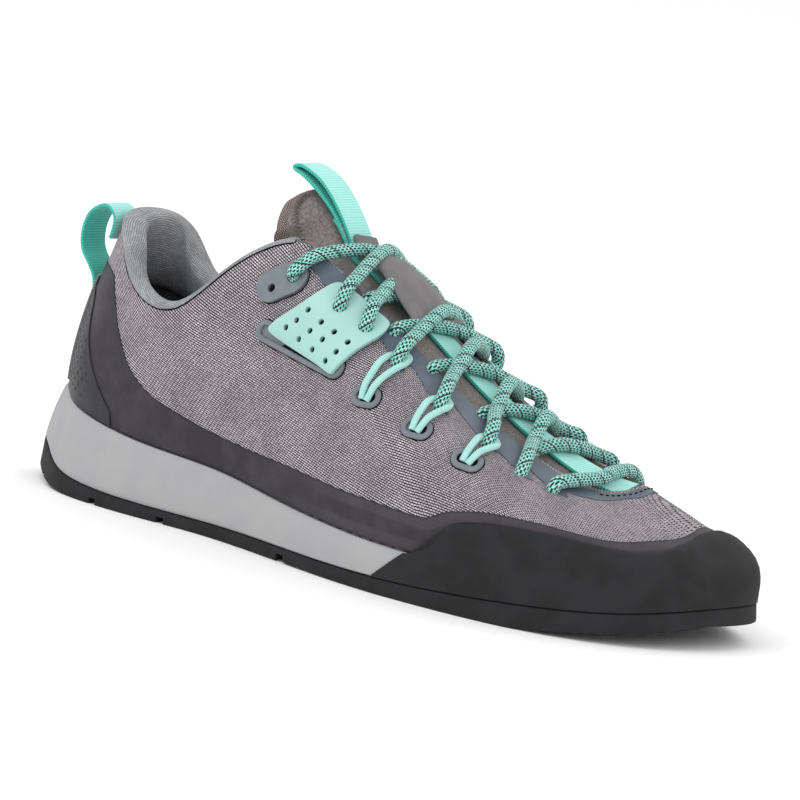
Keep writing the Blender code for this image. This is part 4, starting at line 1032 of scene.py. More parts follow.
def make_outsole():
    rows = list(HEEL_BLOCK)
    for row in range(LUG_ROWS):
        start = HEEL_BLOCK[-1] + row * LUG_PITCH
        rows += [start + LUG_SHARE * LUG_PITCH, start + LUG_PITCH]
    coarse = rows + list(TOE_BLOCK)
    count = (len(coarse) - 1) * CUTS + 1
    stations = np.interp(np.arange(count) / CUTS, np.arange(len(coarse)), coarse)

    def level(u, share):
        """Side of the sole from its rim (0) to the foot of the wall (1)."""
        values = SOLE.at(u)
        half = half_of(u)
        depth = np.clip((11.4 - half) / 1.5, 0.25, 1.0) * np.clip((half + 0.6) / 1.2, 0.5, 1.0)
        low = tread_level(u) + LUG_DEPTH * depth
        soft = 0.0004 * (share == 0.0)
        spread = values[..., 5] + (values[..., 6] - values[..., 5]) * share - soft
        top = outsole_top(u)
        return sole_point(u, spread, top + (low - top) * share)

    shares = (0.0, 0.08, 0.3, 0.65, 1.0)
    lateral = [level(stations, share) for share in shares]
    medial = [level(ROUND - stations, share) for share in shares]
    lanes = np.array(LANES)
    top = [lateral[0] + (medial[0] - lateral[0]) * share for share in (0.75, 0.5, 0.25)]
    bottom = [lateral[-1] + (medial[-1] - lateral[-1]) * share for share in lanes]
    # From the outer rim down, under the sole, up the inner side and back over the top
    ring = lateral[:-1] + bottom + medial[-2::-1] + top + [lateral[0]]
    mesh_data = sheet(np.array(ring)[::-1])
    first = len(ring) - 1 - (len(lateral) - 1)
    lugs = []
    columns = len(stations) - 1
    for index, face in enumerate(list(mesh_data.faces)):
        row, column = divmod(index, columns)
        lane = first - 1 - row
        if 0 <= lane < len(LANES) - 1 and is_lug(column // CUTS, lane):
            lugs.append(face)
    bmesh.ops.remove_doubles(mesh_data, verts=mesh_data.verts, dist=2e-6)
    lugs = [face for face in lugs if face.is_valid]
    pulled = bmesh.ops.extrude_face_region(mesh_data, geom=lugs)
    bmesh.ops.delete(mesh_data, geom=lugs, context="FACES_ONLY")
    along = np.linspace(0.0, TOE, 441)
    ground_x = feather(along)[..., 0] - ORIGIN[0]
    ground_z = tread_level(along)
    for vert in (item for item in pulled["geom"] if isinstance(item, bmesh.types.BMVert)):
        vert.co.z = float(np.interp(vert.co.x, ground_x, ground_z))
    finished("outsole_tread", mesh_data, (RUBBER,), ("outsole",), rounding=0.00035, closed=True)


RAND_START = 6.735
RAND_TOP_START = 7.45


def make_rand():
    """Rubber wall round the forefoot: up from the outsole, over the film, with a soft top edge."""
    stations = np.concatenate([np.linspace(RAND_START, 7.9, 40), np.linspace(7.95, TOE, 90)])
    inside = FILM_TOP
    wall = 1.7 * RAND
    proud = inside + wall
    rows = []
    back = []

    def both(lateral):
        return np.append(lateral, ROUND - lateral[-2::-1])

    for share in np.linspace(0.0, 1.0, 6):
        u = both(slanted(stations, share))
        foot = outsole_top(u) + CLEARANCE
        height = foot + (feather(u)[..., 2] - foot) * share
        skirt = SOLE.at(u)[..., 5]
        spread = skirt + (proud - skirt) * share + 0.08 * SOLE_FLARE
        rows.append(sole_point(u, spread, height))
        under = CLEARANCE + (inside - CLEARANCE) * max(0.0, (share - 0.6) / 0.4)
        back.append(sole_point(u, np.full_like(u, under), height))
    for share in (0.12, 0.25, 0.4, 0.55, 0.7, 0.82, 0.90, 0.95, 0.98, 1.0):
        start = RAND_START + 0.08 + (RAND_TOP_START - RAND_START - 0.08) * share
        fade = np.clip((8.8 - stations) / (8.8 - RAND_START), 0.0, 1.0)
        u = both(stations + (start - RAND_START) * fade)
        v = edge_value(RAND_EDGE, u) * share
        lost = np.interp(share, (0.0, 0.82, 0.90, 0.95, 0.98, 1.0), (0.0, 0.04, 0.15, 0.32, 0.56, 0.92))
        rows.append(surface(u, v, proud - wall * lost))
        back.append(surface(u, v, inside))
    ring = rows + back[::-1] + [rows[0]]
    finished("rand_rubber", sheet(np.array(ring)), (RUBBER,), ("rand",), closed=True)


# Collar: padded lining that rolls over the edge
COLLAR_PAD = 0.0058
COLLAR_PIPING = 0.0014
COLLAR_ROLL = 0.0022


def make_collar():
    u = np.linspace(-6.0, 6.0, 301)
    pad = np.clip((5.2 - np.abs(u)) / 2.6, 0.0, 1.0)
    pad = pad * pad * (3.0 - 2.0 * pad)
    thick = COLLAR_PIPING + (COLLAR_PAD - COLLAR_PIPING) * pad
    back = UPPER_WALL + 2.0 * CLEARANCE
    climb = unit(surface(u, 1.0) - surface(u, 0.99))
    face = normal(u, 1.0)
    edge = surface(u, 1.0)
    # On the outer side the roll stands a little higher than round the heel
    taller = 0.0013 * np.clip(1.0 - np.abs(u - 3.2) / 2.2, 0.0, 1.0)
    roll = COLLAR_ROLL * (0.95 + 0.05 * pad) + taller
    proud = 0.0003 + 0.0004 * pad

    def over_edge(height, depth):
        height = np.broadcast_to(height, u.shape)[:, None]
        depth = np.broadcast_to(depth, u.shape)[:, None]
        return edge + climb * height - face * depth

    section = [
        over_edge(-0.0005, 0.0004), over_edge(-0.0003, -0.0003), over_edge(0.25 * roll, -proud),
        over_edge(0.80 * roll, 0.1 * back), over_edge(roll, 0.5 * (back + thick)),
        over_edge(0.35 * roll, back + 0.92 * thick),
    ]
    for v, share in ((0.95, 1.0), (0.8, 0.9), (0.68, 0.5)):
        section.append(surface(u, v, -(back + thick * share)))
    section += [surface(u, v, -back) for v in (0.64, 0.8, 0.95)]
    section += [over_edge(CLEARANCE, back), over_edge(1.2 * CLEARANCE, 0.0)]
    places = np.linspace(0.0, len(section), 57)
    closed_run = np.array(section[-2:] + section + section[:3])
    rows = smooth(closed_run, places + 2.0)
    made = finished("collar_roll", sheet(rows), (COLLAR_KNIT,), ("collar",), closed=True)
    # Dark thread line where the roll is sewn to the upper
    line = edge - climb * 0.0004 + face * 0.0001
    finished("collar_seam", tube(line, 0.0003, 6), (BLACK_THREAD_AND_SHADE,), closed=True)


# Tongue
TONGUE_ROWS = (
    (0.344, 1.046, 0.345, -0.100, 0.100, 1.030),
    (0.352, 1.030, 0.345, -0.168, 0.148, 1.010),
    (0.365, 1.000, 0.342, -0.215, 0.180, 0.950),
    (0.381, 0.960, 0.343, -0.236, 0.180, 0.875),
    (0.399, 0.915, 0.348, -0.230, 0.160, 0.790),
)
TONGUE_STATIONS = (6.75, 7.1, 7.5, 7.9, 8.3, 8.7, 9.1, 9.5, 9.9, 10.3, 10.6)
TONGUE_ACROSS = np.array([0.0, 0.16, 0.33, 0.5, 0.67, 0.84, 1.0])
TONGUE_ARCH = 0.0035


def tongue_rows():
    """Cross lines of the tongue's upper face, from its top edge down to the toe."""
    rows = []
    for x_mid, z_mid, x_edge, y_lateral, y_medial, z_edge in TONGUE_ROWS:
        x = x_edge * LAST_LENGTH
        z = z_edge * UPPER_RISE + HEEL_STACK
        left = np.array([x, y_lateral * BALL_WIDTH, z])
        right = np.array([x, y_medial * BALL_WIDTH, z])
        middle = np.array([x_mid * LAST_LENGTH, 0.5 * (left[1] + right[1]), z_mid * UPPER_RISE + HEEL_STACK])
        rise = middle - 0.5 * (left + right)
        share = TONGUE_ACROSS[:, None]
        rows.append(left + (right - left) * share + rise * (1.0 - (2.0 * share - 1.0) ** 2) - ORIGIN)
    for station in TONGUE_STATIONS:
        under = UPPER_WALL + 1.5 * CLEARANCE + COLLAR_PIPING * (station < 7.0)
        tuck = 0.87 if station < 8.0 else 0.90
        left = [surface(station, v, -under) for v in (tuck, 0.99)]
        right = [surface(ROUND - station, v, -under) for v in (0.99, tuck)]
        arch = TONGUE_ARCH * min(1.0, max(0.0, (10.6 - station) / 1.6))
        between = []
        for share in (0.25, 0.5, 0.75):
            level = left[1] + (right[0] - left[1]) * share
            between.append(level + RISE * arch * 4.0 * share * (1.0 - share))
        rows.append(np.array(left + between + right))
    return np.array(rows)


CROSS_LINES = tongue_rows()
LAST_LINE = len(CROSS_LINES) - 1.0


def tongue_face(place, share):
    """Points of the tongue's upper face and their normals, over places from the top and shares across."""
    lines = smooth(CROSS_LINES, place)
    columns = np.interp(share, TONGUE_ACROSS, np.arange(len(TONGUE_ACROSS)))
    points = smooth(np.swapaxes(lines, 0, 1), columns)
    points = np.swapaxes(points, 0, 1)
    face = np.cross(np.gradient(points, axis=0), np.gradient(points, axis=1))
    return points, unit(face)


RIDGE_POINTS, RIDGE_UPS = tongue_face(np.linspace(0.0, LAST_LINE, 561), np.array([0.45, 0.5, 0.55]))


def ridge(place):
    """Middle line of the tongue's upper face, with its normal and its direction to the inner side."""
    count = np.asarray(place, float) / LAST_LINE * (len(RIDGE_POINTS) - 1)
    point = smooth(RIDGE_POINTS[:, 1], np.atleast_1d(count))
    up = unit(smooth(RIDGE_UPS[:, 1], np.atleast_1d(count)))
    across = unit(smooth(RIDGE_POINTS[:, 2] - RIDGE_POINTS[:, 0], np.atleast_1d(count)))
    return point, up, across


def make_tongue():
    place = np.linspace(0.0, LAST_LINE, 241)
    share = np.linspace(0.0, 1.0, 49)
    top, face = tongue_face(place, share)
    # The corners of the top edge take the direction of its middle
    flat = np.clip(1.6 - place, 0.0, 1.0)[:, None, None]
    face = unit(face * (1.0 - flat) + face[:, 24:25] * flat)
    cap = np.clip(place[:, None] / 0.6, 0.0, 1.0)
    side = np.clip(np.minimum(share, 1.0 - share)[None, :] / 0.06, 0.0, 1.0)
    full = np.sqrt(np.clip(1.0 - (1.0 - np.minimum(cap, side)) ** 2, 0.04, 1.0))[..., None]
    middle = top - face * TONGUE / 2.0
    upper_face = middle + face * TONGUE / 2.0 * full
    lower_face = middle - face * TONGUE / 2.0 * full
    # Columns run across the tongue, rows from its foot to its top edge
    mesh_data = sheet(upper_face[::-1])
    under = sheet(lower_face[::-1])
    bmesh.ops.reverse_faces(under, faces=under.faces)
    whole = joined((mesh_data, under))
    open_edges = [edge for edge in whole.edges if edge.is_boundary]
    bmesh.ops.bridge_loops(whole, edges=open_edges)
    made = finished("tongue_body", whole, (TONGUE_FINISH,), ("tongue",), closed=True)
    # Zigzag thread that sews the mesh rim to the microfibre, a few millimetres inside the edge
    seam = np.array((
        (4.2, 0.13), (3.0, 0.12), (2.0, 0.12), (1.3, 0.16), (1.0, 0.26), (0.95, 0.5), (1.0, 0.7),
    ))
    around = np.array((-1.0, 0.0, 1.0))
    line = []
    ups = []
    for along, across in smooth(seam, np.linspace(0.0, 6.0, 62)):
        point, up = tongue_face(along + 0.02 * around, across + 0.01 * around)
        line.append(point[1, 1])
        ups.append(up[1, 1])
    line = np.array(line)
    ups = np.array(ups)
    aside = unit(np.cross(np.gradient(line, axis=0), ups))
    swing = 0.0010 * (-1.0) ** np.arange(len(line))
    thread = line + aside * swing[:, None] + ups * 0.0001
    finished("tongue_zigzag", tube(thread, 0.00028, 6), (THREAD_GREY,), closed=True)


RIB_PITCH = 0.00095
RIB_HEIGHT = 0.00007
# Section of the tape in shares of half its width and half its thickness: over the face, and back
# along the underside rows, which take the teal copy of the webbing, painted shade
TAPE_SECTION = (
    (-0.97, 0.8), (-0.88, 1.0), (-0.4, 1.0), (0.0, 1.0), (0.4, 1.0), (0.88, 1.0), (0.97, 0.8), (1.0, 0.3),
    (1.0, -0.3), (0.97, -0.8), (0.88, -1.0), (0.0, -1.0), (-0.88, -1.0), (-0.97, -0.8), (-1.0, -0.3),
    (-1.0, 0.3),
)
SHADED_UNDERSIDE = range(8, 17)


def band(line, across, up):
    """Flat woven tape along a line, with a raised rib across it at each pitch."""
    places, distance = even_places(line, RIB_PITCH / 6.0)
    line = smooth(line, places)
    across = unit(smooth(across, places))
    up = unit(smooth(up, places))
    wave = RIB_HEIGHT * (0.5 + 0.5 * np.cos(math.tau * distance / RIB_PITCH))
    section = [(a * WEBBING_WIDTH / 2.0, b * WEBBING / 2.0) for a, b in TAPE_SECTION]
    mesh_data = section_sheet(line, across, up, section, wave)
    # The underside rows take the second finish, a teal copy of the webbing: painted shade
    for index, face in enumerate(mesh_data.faces):
        face.material_index = int(index // (len(line) - 1) in SHADED_UNDERSIDE)
    return mesh_data


# The pull, from its sewn end up the back, over the fold and down the front: shares of LAST_LENGTH
# and UPPER_RISE
PULL_ROUTE = (
    (0.402, 0.930), (0.385, 0.984), (0.366, 1.032), (0.350, 1.066), (0.336, 1.090), (0.324, 1.104),
    (0.322, 1.118), (0.335, 1.123), (0.361, 1.090), (0.382, 1.037), (0.404, 0.958), (0.4225, 0.872),
    (0.429, 0.835),
)


def make_tongue_webbing():
    point, up, across = ridge(np.linspace(3.6, 14.6, 60))
    low = point + up * (0.5 * CLEARANCE + WEBBING / 2.0)
    sewn = band(low, across, up)
    route = np.array(PULL_ROUTE)
    x = route[:, 0] * LAST_LENGTH - ORIGIN[0]
    z = route[:, 1] * UPPER_RISE + HEEL_STACK
    line = np.stack([x, np.full_like(x, float(low[0, 1])), z], axis=1)
    run = unit(np.gradient(line, axis=0))
    side = np.tile((0.0, 1.0, 0.0), (len(line), 1))
    pull = band(line, side, unit(np.cross(run, side)))
    # The second finish is the teal copy of the webbing, painted shade on the tape's underside
    finishes = (WEBBING_MINT, WEBBING_SHADED_TEAL)
    finished("tongue_pull", joined((sewn, pull)), finishes, ("tongue_webbing",), closed=True)


def make_keeper():
    """Hourglass strap of soft rubber that holds the crossing laces down on the tongue."""
    share = np.linspace(0.0, 1.0, 61)
    line, up, across = ridge(4.6 + 3.4 * share)
    up = np.tile(unit(up.mean(axis=0)), (len(share), 1))
    rise = np.interp(share, (0.0, 0.12, 0.32, 0.5, 0.7, 0.9, 1.0), (0.42, 0.48, 0.80, 1.0, 0.90, 0.45, 0.25))
    rise = smooth(rise[::6, None], np.linspace(0.0, 10.0, 61))[:, 0]
    middle = line + up * (WEBBING + 2.0 * CLEARANCE + 0.0060 * rise + MOULDED / 2.0)[:, None]
    half = np.interp(share, (0.0, 0.25, 0.5, 0.75, 1.0), (0.0062, 0.0078, 0.0102, 0.0130, 0.0142))
    half = smooth(half[::6, None], np.linspace(0.0, 10.0, 61))[:, 0]
    thin = MOULDED / 2.0
    droop = 0.0030 * rise * np.clip(share / 0.3, 0.0, 1.0)
    crown = ((-1.0, 0.35), (-0.96, 0.8), (-0.88, 1.0), (-0.6, 1.0), (-0.3, 1.0), (0.0, 1.0))
    crown += tuple((-a, b) for a, b in crown[-2::-1])
    section = [(a * half, b * thin - droop * a * a) for a, b in crown]
    section += [(a * half, -b * thin - droop * a * a) for a, b in crown[::-1]]
    mesh_data = section_sheet(middle, across, up, section)
    finished("lace_keeper", mesh_data, (KEEPER_RUBBER,), ("tongue_keeper",), closed=True)


# The heel loop from its low end round to its high end, back and up from the top of the heel
HEEL_LOOP_ROUTE = (
    (-0.0084, -0.0262), (-0.0093, -0.0226), (-0.0120, -0.0188), (-0.0147, -0.0155), (-0.0160, -0.0117),
    (-0.0157, -0.0064), (-0.0134, -0.0017), (-0.0086, 0.0012), (-0.0053, 0.0006), (-0.0033, -0.0020),
    (-0.0033, -0.0055), (-0.0042, -0.0092),
)


def make_heel_loop():
    top = topline(0.0) - ORIGIN
    route = np.array([(top[0] + back, -ORIGIN[1], top[2] + up) for back, up in HEEL_LOOP_ROUTE])
    run = unit(np.gradient(route, axis=0))
    side = np.tile((0.0, 1.0, 0.0), (len(route), 1))
    mesh_data = band(route, side, unit(np.cross(side, -run)))
    # The second finish is the teal copy of the webbing, painted shade on the tape's underside
    finishes = (WEBBING_MINT, WEBBING_SHADED_TEAL)
    finished("heel_loop", mesh_data, finishes, ("heel_pull_loop",), closed=True)


# Lace holders


def stadium(length, width):
    """Outline of a bar with round ends."""
    steps = 18
    along = 10
    reach = (length - width) / 2.0
    points = []
    for way, start in ((1.0, -90.0), (-1.0, 90.0)):
        for step in range(steps + 1):
            angle = math.radians(start + 180.0 * step / steps)
            points.append((way * reach + math.cos(angle) * width / 2.0, math.sin(angle) * width / 2.0))
        for step in range(1, along):
            points.append((way * reach * (1.0 - 2.0 * step / along), way * width / 2.0))
    return np.array(points)


def patch(centre, side, outline, lift, thickness=0.0):
    """Plate that follows the skin, or a bare sheet without a thickness; lift is a function of place."""
    outline = np.append(outline, outline[:1], axis=0)
    middle = outline[:-1].mean(axis=0)
    rings = [middle + (outline - middle) * share for share in (0.0, 0.2, 0.4, 0.6, 0.75, 0.88, 0.95, 1.0)]
    rows = [on_skin(centre, ring, lift(ring), side) for ring in rings]
    if thickness:
        rows += [on_skin(centre, ring, lift(ring) + thickness, side) for ring in rings[::-1]]
    return sheet(np.array(rows))


def skin_ring(centre, side, sizes, angle, lift, thickness, rim):
    """Moulded frame with rounded edges round a slot."""
    length, width = sizes
    rows = []
    profile = (
        (0.0, 0.0), (0.0, 0.6), (0.15, 0.9), (0.4, 1.0), (0.6, 1.0), (0.85, 0.9), (1.0, 0.6), (1.0, 0.0),
    )
    for inward, height in profile + profile[:1]:
        outline = turned(stadium(length - 2.0 * rim * inward, width - 2.0 * rim * inward), angle)
        outline = np.append(outline, outline[:1], axis=0)
        rows.append(on_skin(centre, outline, lift + thickness * height, side))
    return sheet(np.array(rows))


def hole_cutter(spots):
    """Round bars through the skin at u, v, each with a radius."""
    mesh_data = bmesh.new()
    for u, v, radius in spots:
        up = normal(u, v)
        matrix = standing(surface(u, v, 0.002), np.cross(up, RISE), up)
        bmesh.ops.create_cone(
            mesh_data, cap_ends=True, segments=20, radius1=radius, radius2=radius, depth=0.012, matrix=matrix,
        )
    return hidden("hole_cutter", mesh_data)


SIDES = (("lateral", 1), ("medial", -1))
PLATE_PLACE = (5.93, 0.830)
PLATE_SIZE = (0.0190, 0.0110)
PLATE_TURN = 30.0
PLATE_HOLES = ((5.76, 0.808, 0.00145), (6.19, 0.857, 0.0026))
FRAME_PLACE = (6.06, 0.61)
FRAME_SIZE = (0.0400, 0.0072)
FRAME_TURN = -11.0
RING_SIZE = (0.0105, 0.0070)
RING_TURN = 2.0
RIM_WIDTH = 0.0018
WING_PLACE = (6.62, 0.75)
WING_LACE_HOLE = 0.0024
WING_PIN = 0.00105
WING_PINS = (
    (6.51, 0.75), (6.22, 0.70), (5.98, 0.67), (6.74, 0.73), (6.46, 0.68), (6.18, 0.64), (6.95, 0.72),
    (6.68, 0.67), (6.40, 0.62), (7.14, 0.71), (6.88, 0.65), (6.60, 0.60),
)
WING_OUTLINE = np.array((
    (-0.0162, -0.0080), (-0.0091, -0.0106), (-0.0005, -0.0130), (0.0073, -0.0152), (0.0134, -0.0172),
    (0.0153, -0.0156), (0.0181, -0.0110), (0.0205, -0.0064), (0.0220, -0.0021), (0.0212, 0.0026),
    (0.0187, 0.0046), (0.0147, 0.0062), (0.0099, 0.0086), (0.0053, 0.0105), (0.0021, 0.0114),
    (0.0001, 0.0103), (-0.0022, 0.0066), (-0.0059, 0.0020), (-0.0105, -0.0018), (-0.0148, -0.0055),
))


def on_knit(points):
    return np.full(points.shape[:-1], 0.0002)


def over_frame(points):
    """The wing comes up out of its slot and lies over the edge of the frame."""
    away = 0.307 * points[..., 0] + 0.952 * points[..., 1] + 0.0128
    return np.interp(away, (0.0, 0.0015, 0.0045), (0.0003, 0.0012, MOULDED + CLEARANCE))


def round_run(outline, count):
    """Closed smooth outline through a few corners."""
    outline = np.asarray(outline)
    ring = np.concatenate([outline[-2:], outline, outline[:3]])
    return smooth(ring, np.linspace(2.0, len(outline) + 2.0, count, endpoint=False))


def mirrored(u, side):
    return u if side > 0 else ROUND - u


def make_plates():
    for label, side in SIDES:
        outline = turned(stadium(*PLATE_SIZE), PLATE_TURN)
        mesh_data = patch(PLATE_PLACE, side, outline, on_knit, MOULDED)
        cutter = hole_cutter([(mirrored(u, side), v, radius) for u, v, radius in PLATE_HOLES])
        finished(
            "eyelet_plate_" + label, mesh_data, (MOULDED_GREY,), ("lace_plate_" + label,),
            rounding=0.0003, cutter=cutter, closed=True,
        )


def make_wings():
    for label, side in SIDES:
        frame_data = skin_ring(FRAME_PLACE, side, FRAME_SIZE, FRAME_TURN, 0.0002, 0.0012, RIM_WIDTH)
        finished(
            "slot_frame_" + label, frame_data, (MOULDED_GREY,), ("wing_frame_" + label,),
            closed=True,
        )
        mesh_data = patch(WING_PLACE, side, round_run(WING_OUTLINE, 180), over_frame, MOULDED)
        spots = [(mirrored(u, side), v, WING_PIN) for u, v in WING_PINS]
        spots += [(mirrored(u, side), v, WING_LACE_HOLE) for u, v in LACE_ROWS[1:3]]
        finished(
            "eyelet_wing_" + label, mesh_data, (MOULDED_MINT,), ("lace_wing_" + label,),
            rounding=0.0003, cutter=hole_cutter(spots), closed=True,
        )


def make_backing():
    """Dark sheets of painted shade under the lace holders: they fill their holes and edge them with a thin
    line of painted shadow.
    """
    # Each shade sheet is this much larger than its fitting, so that the line is half as wide
    plate = turned(stadium(PLATE_SIZE[0] + 0.0007, PLATE_SIZE[1] + 0.0007), PLATE_TURN)
    slot_frame = turned(stadium(FRAME_SIZE[0] + 0.0008, FRAME_SIZE[1] + 0.0008), FRAME_TURN)
    ring = turned(stadium(RING_SIZE[0] + 0.0007, RING_SIZE[1] + 0.0007), RING_TURN)
    wing = round_run(WING_OUTLINE * 0.93, 90)
    parts = []
    for _, side in SIDES:
        parts.append(patch(PLATE_PLACE, side, plate, lambda points: 0.0001))
        parts.append(patch(FRAME_PLACE, side, slot_frame, lambda points: 0.0001))
        parts.append(patch(WING_PLACE, side, wing, lambda points: over_frame(points) - 0.0002))
        for u, v, _ in WEBBING_LOOPS:
            parts.append(patch((u, v), side, ring, lambda points: 0.0001))
    # One object of painted shade, in the black thread's material
    finished("holder_painted_shade", joined(parts), (BLACK_THREAD_AND_SHADE,))


LOOP_REACH = 0.0028
LOOP_HALF_WIDTH = 0.0010
LOOP_TURN = -10.0
# Section of the loop's tape with its two sewn grooves, in shares of half its width and its thickness
LOOP_SECTION = (
    (-1.0, 0.0), (-1.0, 0.6), (-0.66, 1.0), (-0.34, 0.76), (0.0, 1.0), (0.34, 0.76), (0.66, 1.0),
    (1.0, 0.6), (1.0, 0.0),
)


def webbing_loop(place, side, height):
    """Both legs of a loop, up out of its ring, round the lace at a height and back down."""
    reach = LOOP_REACH
    legs = np.array([
        (-0.0010, -0.0012), (-0.0014, 0.0015), (-0.66 * reach, 0.40 * height), (-reach, 0.78 * height),
        (-0.80 * reach, height), (0.0, height + 0.0016), (0.80 * reach, height), (reach, 0.78 * height),
        (0.66 * reach, 0.40 * height), (0.0014, 0.0015), (0.0010, -0.0012),
    ])
    places, _ = even_places(np.append(legs, np.zeros((len(legs), 1)), axis=1), 0.0004)
    path = smooth(legs, places)
    climbed = (-0.0012, 0.0035, 0.7 * height, height + 0.001)
    lift = np.interp(path[:, 1], climbed, (0.0002, 0.0018, 0.0016, 0.0006))
    path = turned(path, LOOP_TURN)
    way = unit(np.gradient(path, axis=0))
    out = np.stack([-way[:, 1], way[:, 0]], axis=1)
    rows = []
    for a, b in LOOP_SECTION + LOOP_SECTION[:1]:
        rows.append(on_skin(place, path + out * LOOP_HALF_WIDTH * a, lift + WEBBING * b, side))
    return sheet(np.array(rows))


def make_loops():
    for label, side in SIDES:
        for number, (u, v, row) in enumerate(WEBBING_LOOPS, start=1):
            end = "_{}_{}".format(label, number)
            ring = skin_ring((u, v), side, RING_SIZE, RING_TURN, 0.0002, 0.0009, RIM_WIDTH)
            finished("loop_ring" + end, ring, (MOULDED_GREY,), ("loop_frame" + end,), closed=True)
            top_u, top_v = LACE_ROWS[row]
            foot = surface(mirrored(u, side), v)
            top = surface(mirrored(top_u, side), top_v)
            loop = webbing_loop((u, v), side, float(np.linalg.norm(top - foot)))
            finished(
                "webbing_loop" + end, loop, (LOOP_WEBBING,), ("lace_loop" + end,), closed=True,
            )


# The lace: rows of heights over the skin at the eyelets, over the throat edge and at the crossing
LACE_LIFTS = (
    (0.0040, 0.0026, 0.0000), (0.0058, 0.0042, 0.0046), (0.0058, 0.0042, 0.0012), (0.0050, 0.0040, 0.0034),
    (0.0050, 0.0038, 0.0034), (0.0050, 0.0038, 0.0034), (0.0040, 0.0036, 0.0034), (0.0036, 0.0036, 0.0030),
)
# How far along each outer strand crosses its own throat edge and the middle of the tongue
NEAR_SHARES = (0.0, 0.15, 0.45, 0.30, 0.42, 0.58, 0.75)
RIDGE_SHARES = (0.0, 0.45, 1.10, 0.70, 0.85, 1.00, 1.15)
OVER_TONGUE = WEBBING + 0.0005 + LACE_RADIUS
THROAT_CORNER = 6.55


def lace_anchor(row, side, lift=None):
    u, v = LACE_ROWS[row]
    return surface(mirrored(u, side), v, LACE_LIFTS[row][0] if lift is None else lift)


def throat_place(x, side):
    """The u at which the edge of the throat is a distance from the heel."""
    u = np.linspace(THROAT_CORNER, TOE, 181)
    return mirrored(float(np.interp(x, topline(mirrored(u, side))[:, 0] - ORIGIN[0], u)), side)


def tongue_crossing(x, lift):
    line, up, _ = ridge(np.linspace(3.0, LAST_LINE, 241))
    nearest = int(np.argmin(np.abs(line[:, 0] - x)))
    return line[nearest] + up[nearest] * lift


def lace_strand(row, side, over):
    """Up out of its eyelet, over the throat edge and the tongue, and in under the other edge."""
    start = lace_anchor(row, side)
    end = lace_anchor(row - 1, -side)
    shares = (NEAR_SHARES[row], RIDGE_SHARES[row], RIDGE_SHARES[row] + 0.25) if over else (0.3, 0.5, 0.7)
    x = start[0] + (end[0] - start[0]) * np.array(shares)
    lift = OVER_TONGUE + (LACE_LIFTS[row][2] if over else 0.0028 * (row == 1))
    near = throat_place(x[0], side)
    far = throat_place(x[2], -side)
    mint_with_shaded_gaps = [lace_anchor(row, side, -0.0030), lace_anchor(row, side, LACE_LIFTS[row][0] - 0.0034)]
    low = lace_anchor(row, side)
    mint_with_shaded_gaps.append(low + (surface(near, 0.99, LACE_LIFTS[row][1]) - low) * 0.35)
    mint_with_shaded_gaps += [surface(near, 0.99, LACE_LIFTS[row][1]), tongue_crossing(x[1], lift)]
    if row == 1:
        edge = surface(far, 0.99, LACE_LIFTS[0][1])
        mint_with_shaded_gaps += [edge, end + (edge - end) * 0.25]
        mint_with_shaded_gaps += [lace_anchor(0, -side, 0.0016), lace_anchor(0, -side, -0.0020)]
    else:
        mint_with_shaded_gaps += [surface(far, 1.0, 0.0008), surface(far, 0.95, -0.0040)]
    return np.array(mint_with_shaded_gaps)


def lace_bar():
    row = len(LACE_ROWS) - 1
    start = lace_anchor(row, 1)
    end = lace_anchor(row, -1)
    middle = tongue_crossing(0.5 * (start[0] + end[0]), OVER_TONGUE)
    mint_with_shaded_gaps = [lace_anchor(row, 1, -0.0030), lace_anchor(row, 1, 0.0025)]
    mint_with_shaded_gaps += [surface(throat_place(start[0], 1), 0.99, LACE_LIFTS[row][1]), middle]
    mint_with_shaded_gaps += [surface(throat_place(end[0], -1), 0.99, LACE_LIFTS[row][1])]
    mint_with_shaded_gaps += [lace_anchor(row, -1, 0.0025), lace_anchor(row, -1, -0.0030)]
    return np.array(mint_with_shaded_gaps)


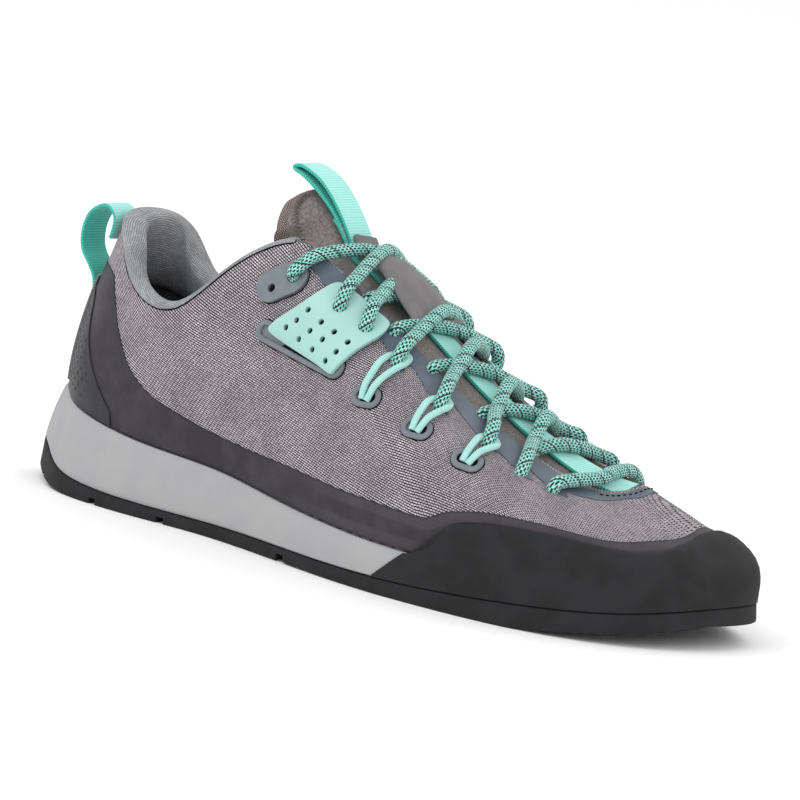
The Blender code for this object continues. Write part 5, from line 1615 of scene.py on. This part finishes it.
def make_lace():
    strands = [lace_bar()]
    for row in range(1, len(LACE_ROWS) - 1):
        strands += [lace_strand(row, 1, True), lace_strand(row, -1, False)]
    tubes = []
    for mint_with_shaded_gaps in strands:
        places, _ = even_places(mint_with_shaded_gaps, 0.0008)
        cord = tube(smooth(mint_with_shaded_gaps, places), LACE_RADIUS)
        bmesh.ops.holes_fill(cord, edges=cord.edges)
        tubes.append(cord)
    finished("lace_cord", joined(tubes), (LACE,), ("lace",), closed=True)


# Stage and light
floor_data = bmesh.new()
bmesh.ops.create_grid(floor_data, x_segments=1, y_segments=1, size=8.0)
floor_mesh = bpy.data.meshes.new("floor")
floor_data.to_mesh(floor_mesh)
floor_data.free()
floor = bpy.data.objects.new("floor", floor_mesh)
bpy.context.scene.collection.objects.link(floor)
paper, _, _ = start_material("backdrop_paper_white", "#fdfdfd", Roughness=0.95, Specular_IOR_Level=0.1)
floor_mesh.materials.append(paper)

world = bpy.data.worlds.new("studio")
world.use_nodes = True
world.node_tree.nodes["Background"].inputs["Color"].default_value = (1.0, 1.0, 1.0, 1.0)
world.node_tree.nodes["Background"].inputs["Strength"].default_value = 1.0
bpy.context.scene.world = world
bpy.context.scene.view_settings.view_transform = "Standard"

for label, place, size, energy in (
    ("key_softbox", (-0.5, -1.1, 1.3), 0.9, 7.0),
    ("side_softbox", (1.3, -0.4, 0.9), 0.8, 3.0),
    ("back_softbox", (0.1, 1.2, 1.0), 0.9, 3.0),
):
    data = bpy.data.lights.new(label, "AREA")
    data.shape = "SQUARE"
    data.size = size
    data.energy = energy
    lamp = bpy.data.objects.new(label, data)
    lamp.location = place
    lamp.rotation_euler = (Vector((0.0, 0.0, 0.05)) - Vector(place)).to_track_quat("-Z", "Y").to_euler()
    bpy.context.scene.collection.objects.link(lamp)

make_upper()
make_film()
make_counter()
make_heel_tape()
make_eyestay()
make_midsole()
make_insole()
make_outsole()
make_rand()
make_collar()
make_tongue()
make_tongue_webbing()
make_keeper()
make_heel_loop()
make_plates()
make_wings()
make_backing()
make_loops()
make_lace()
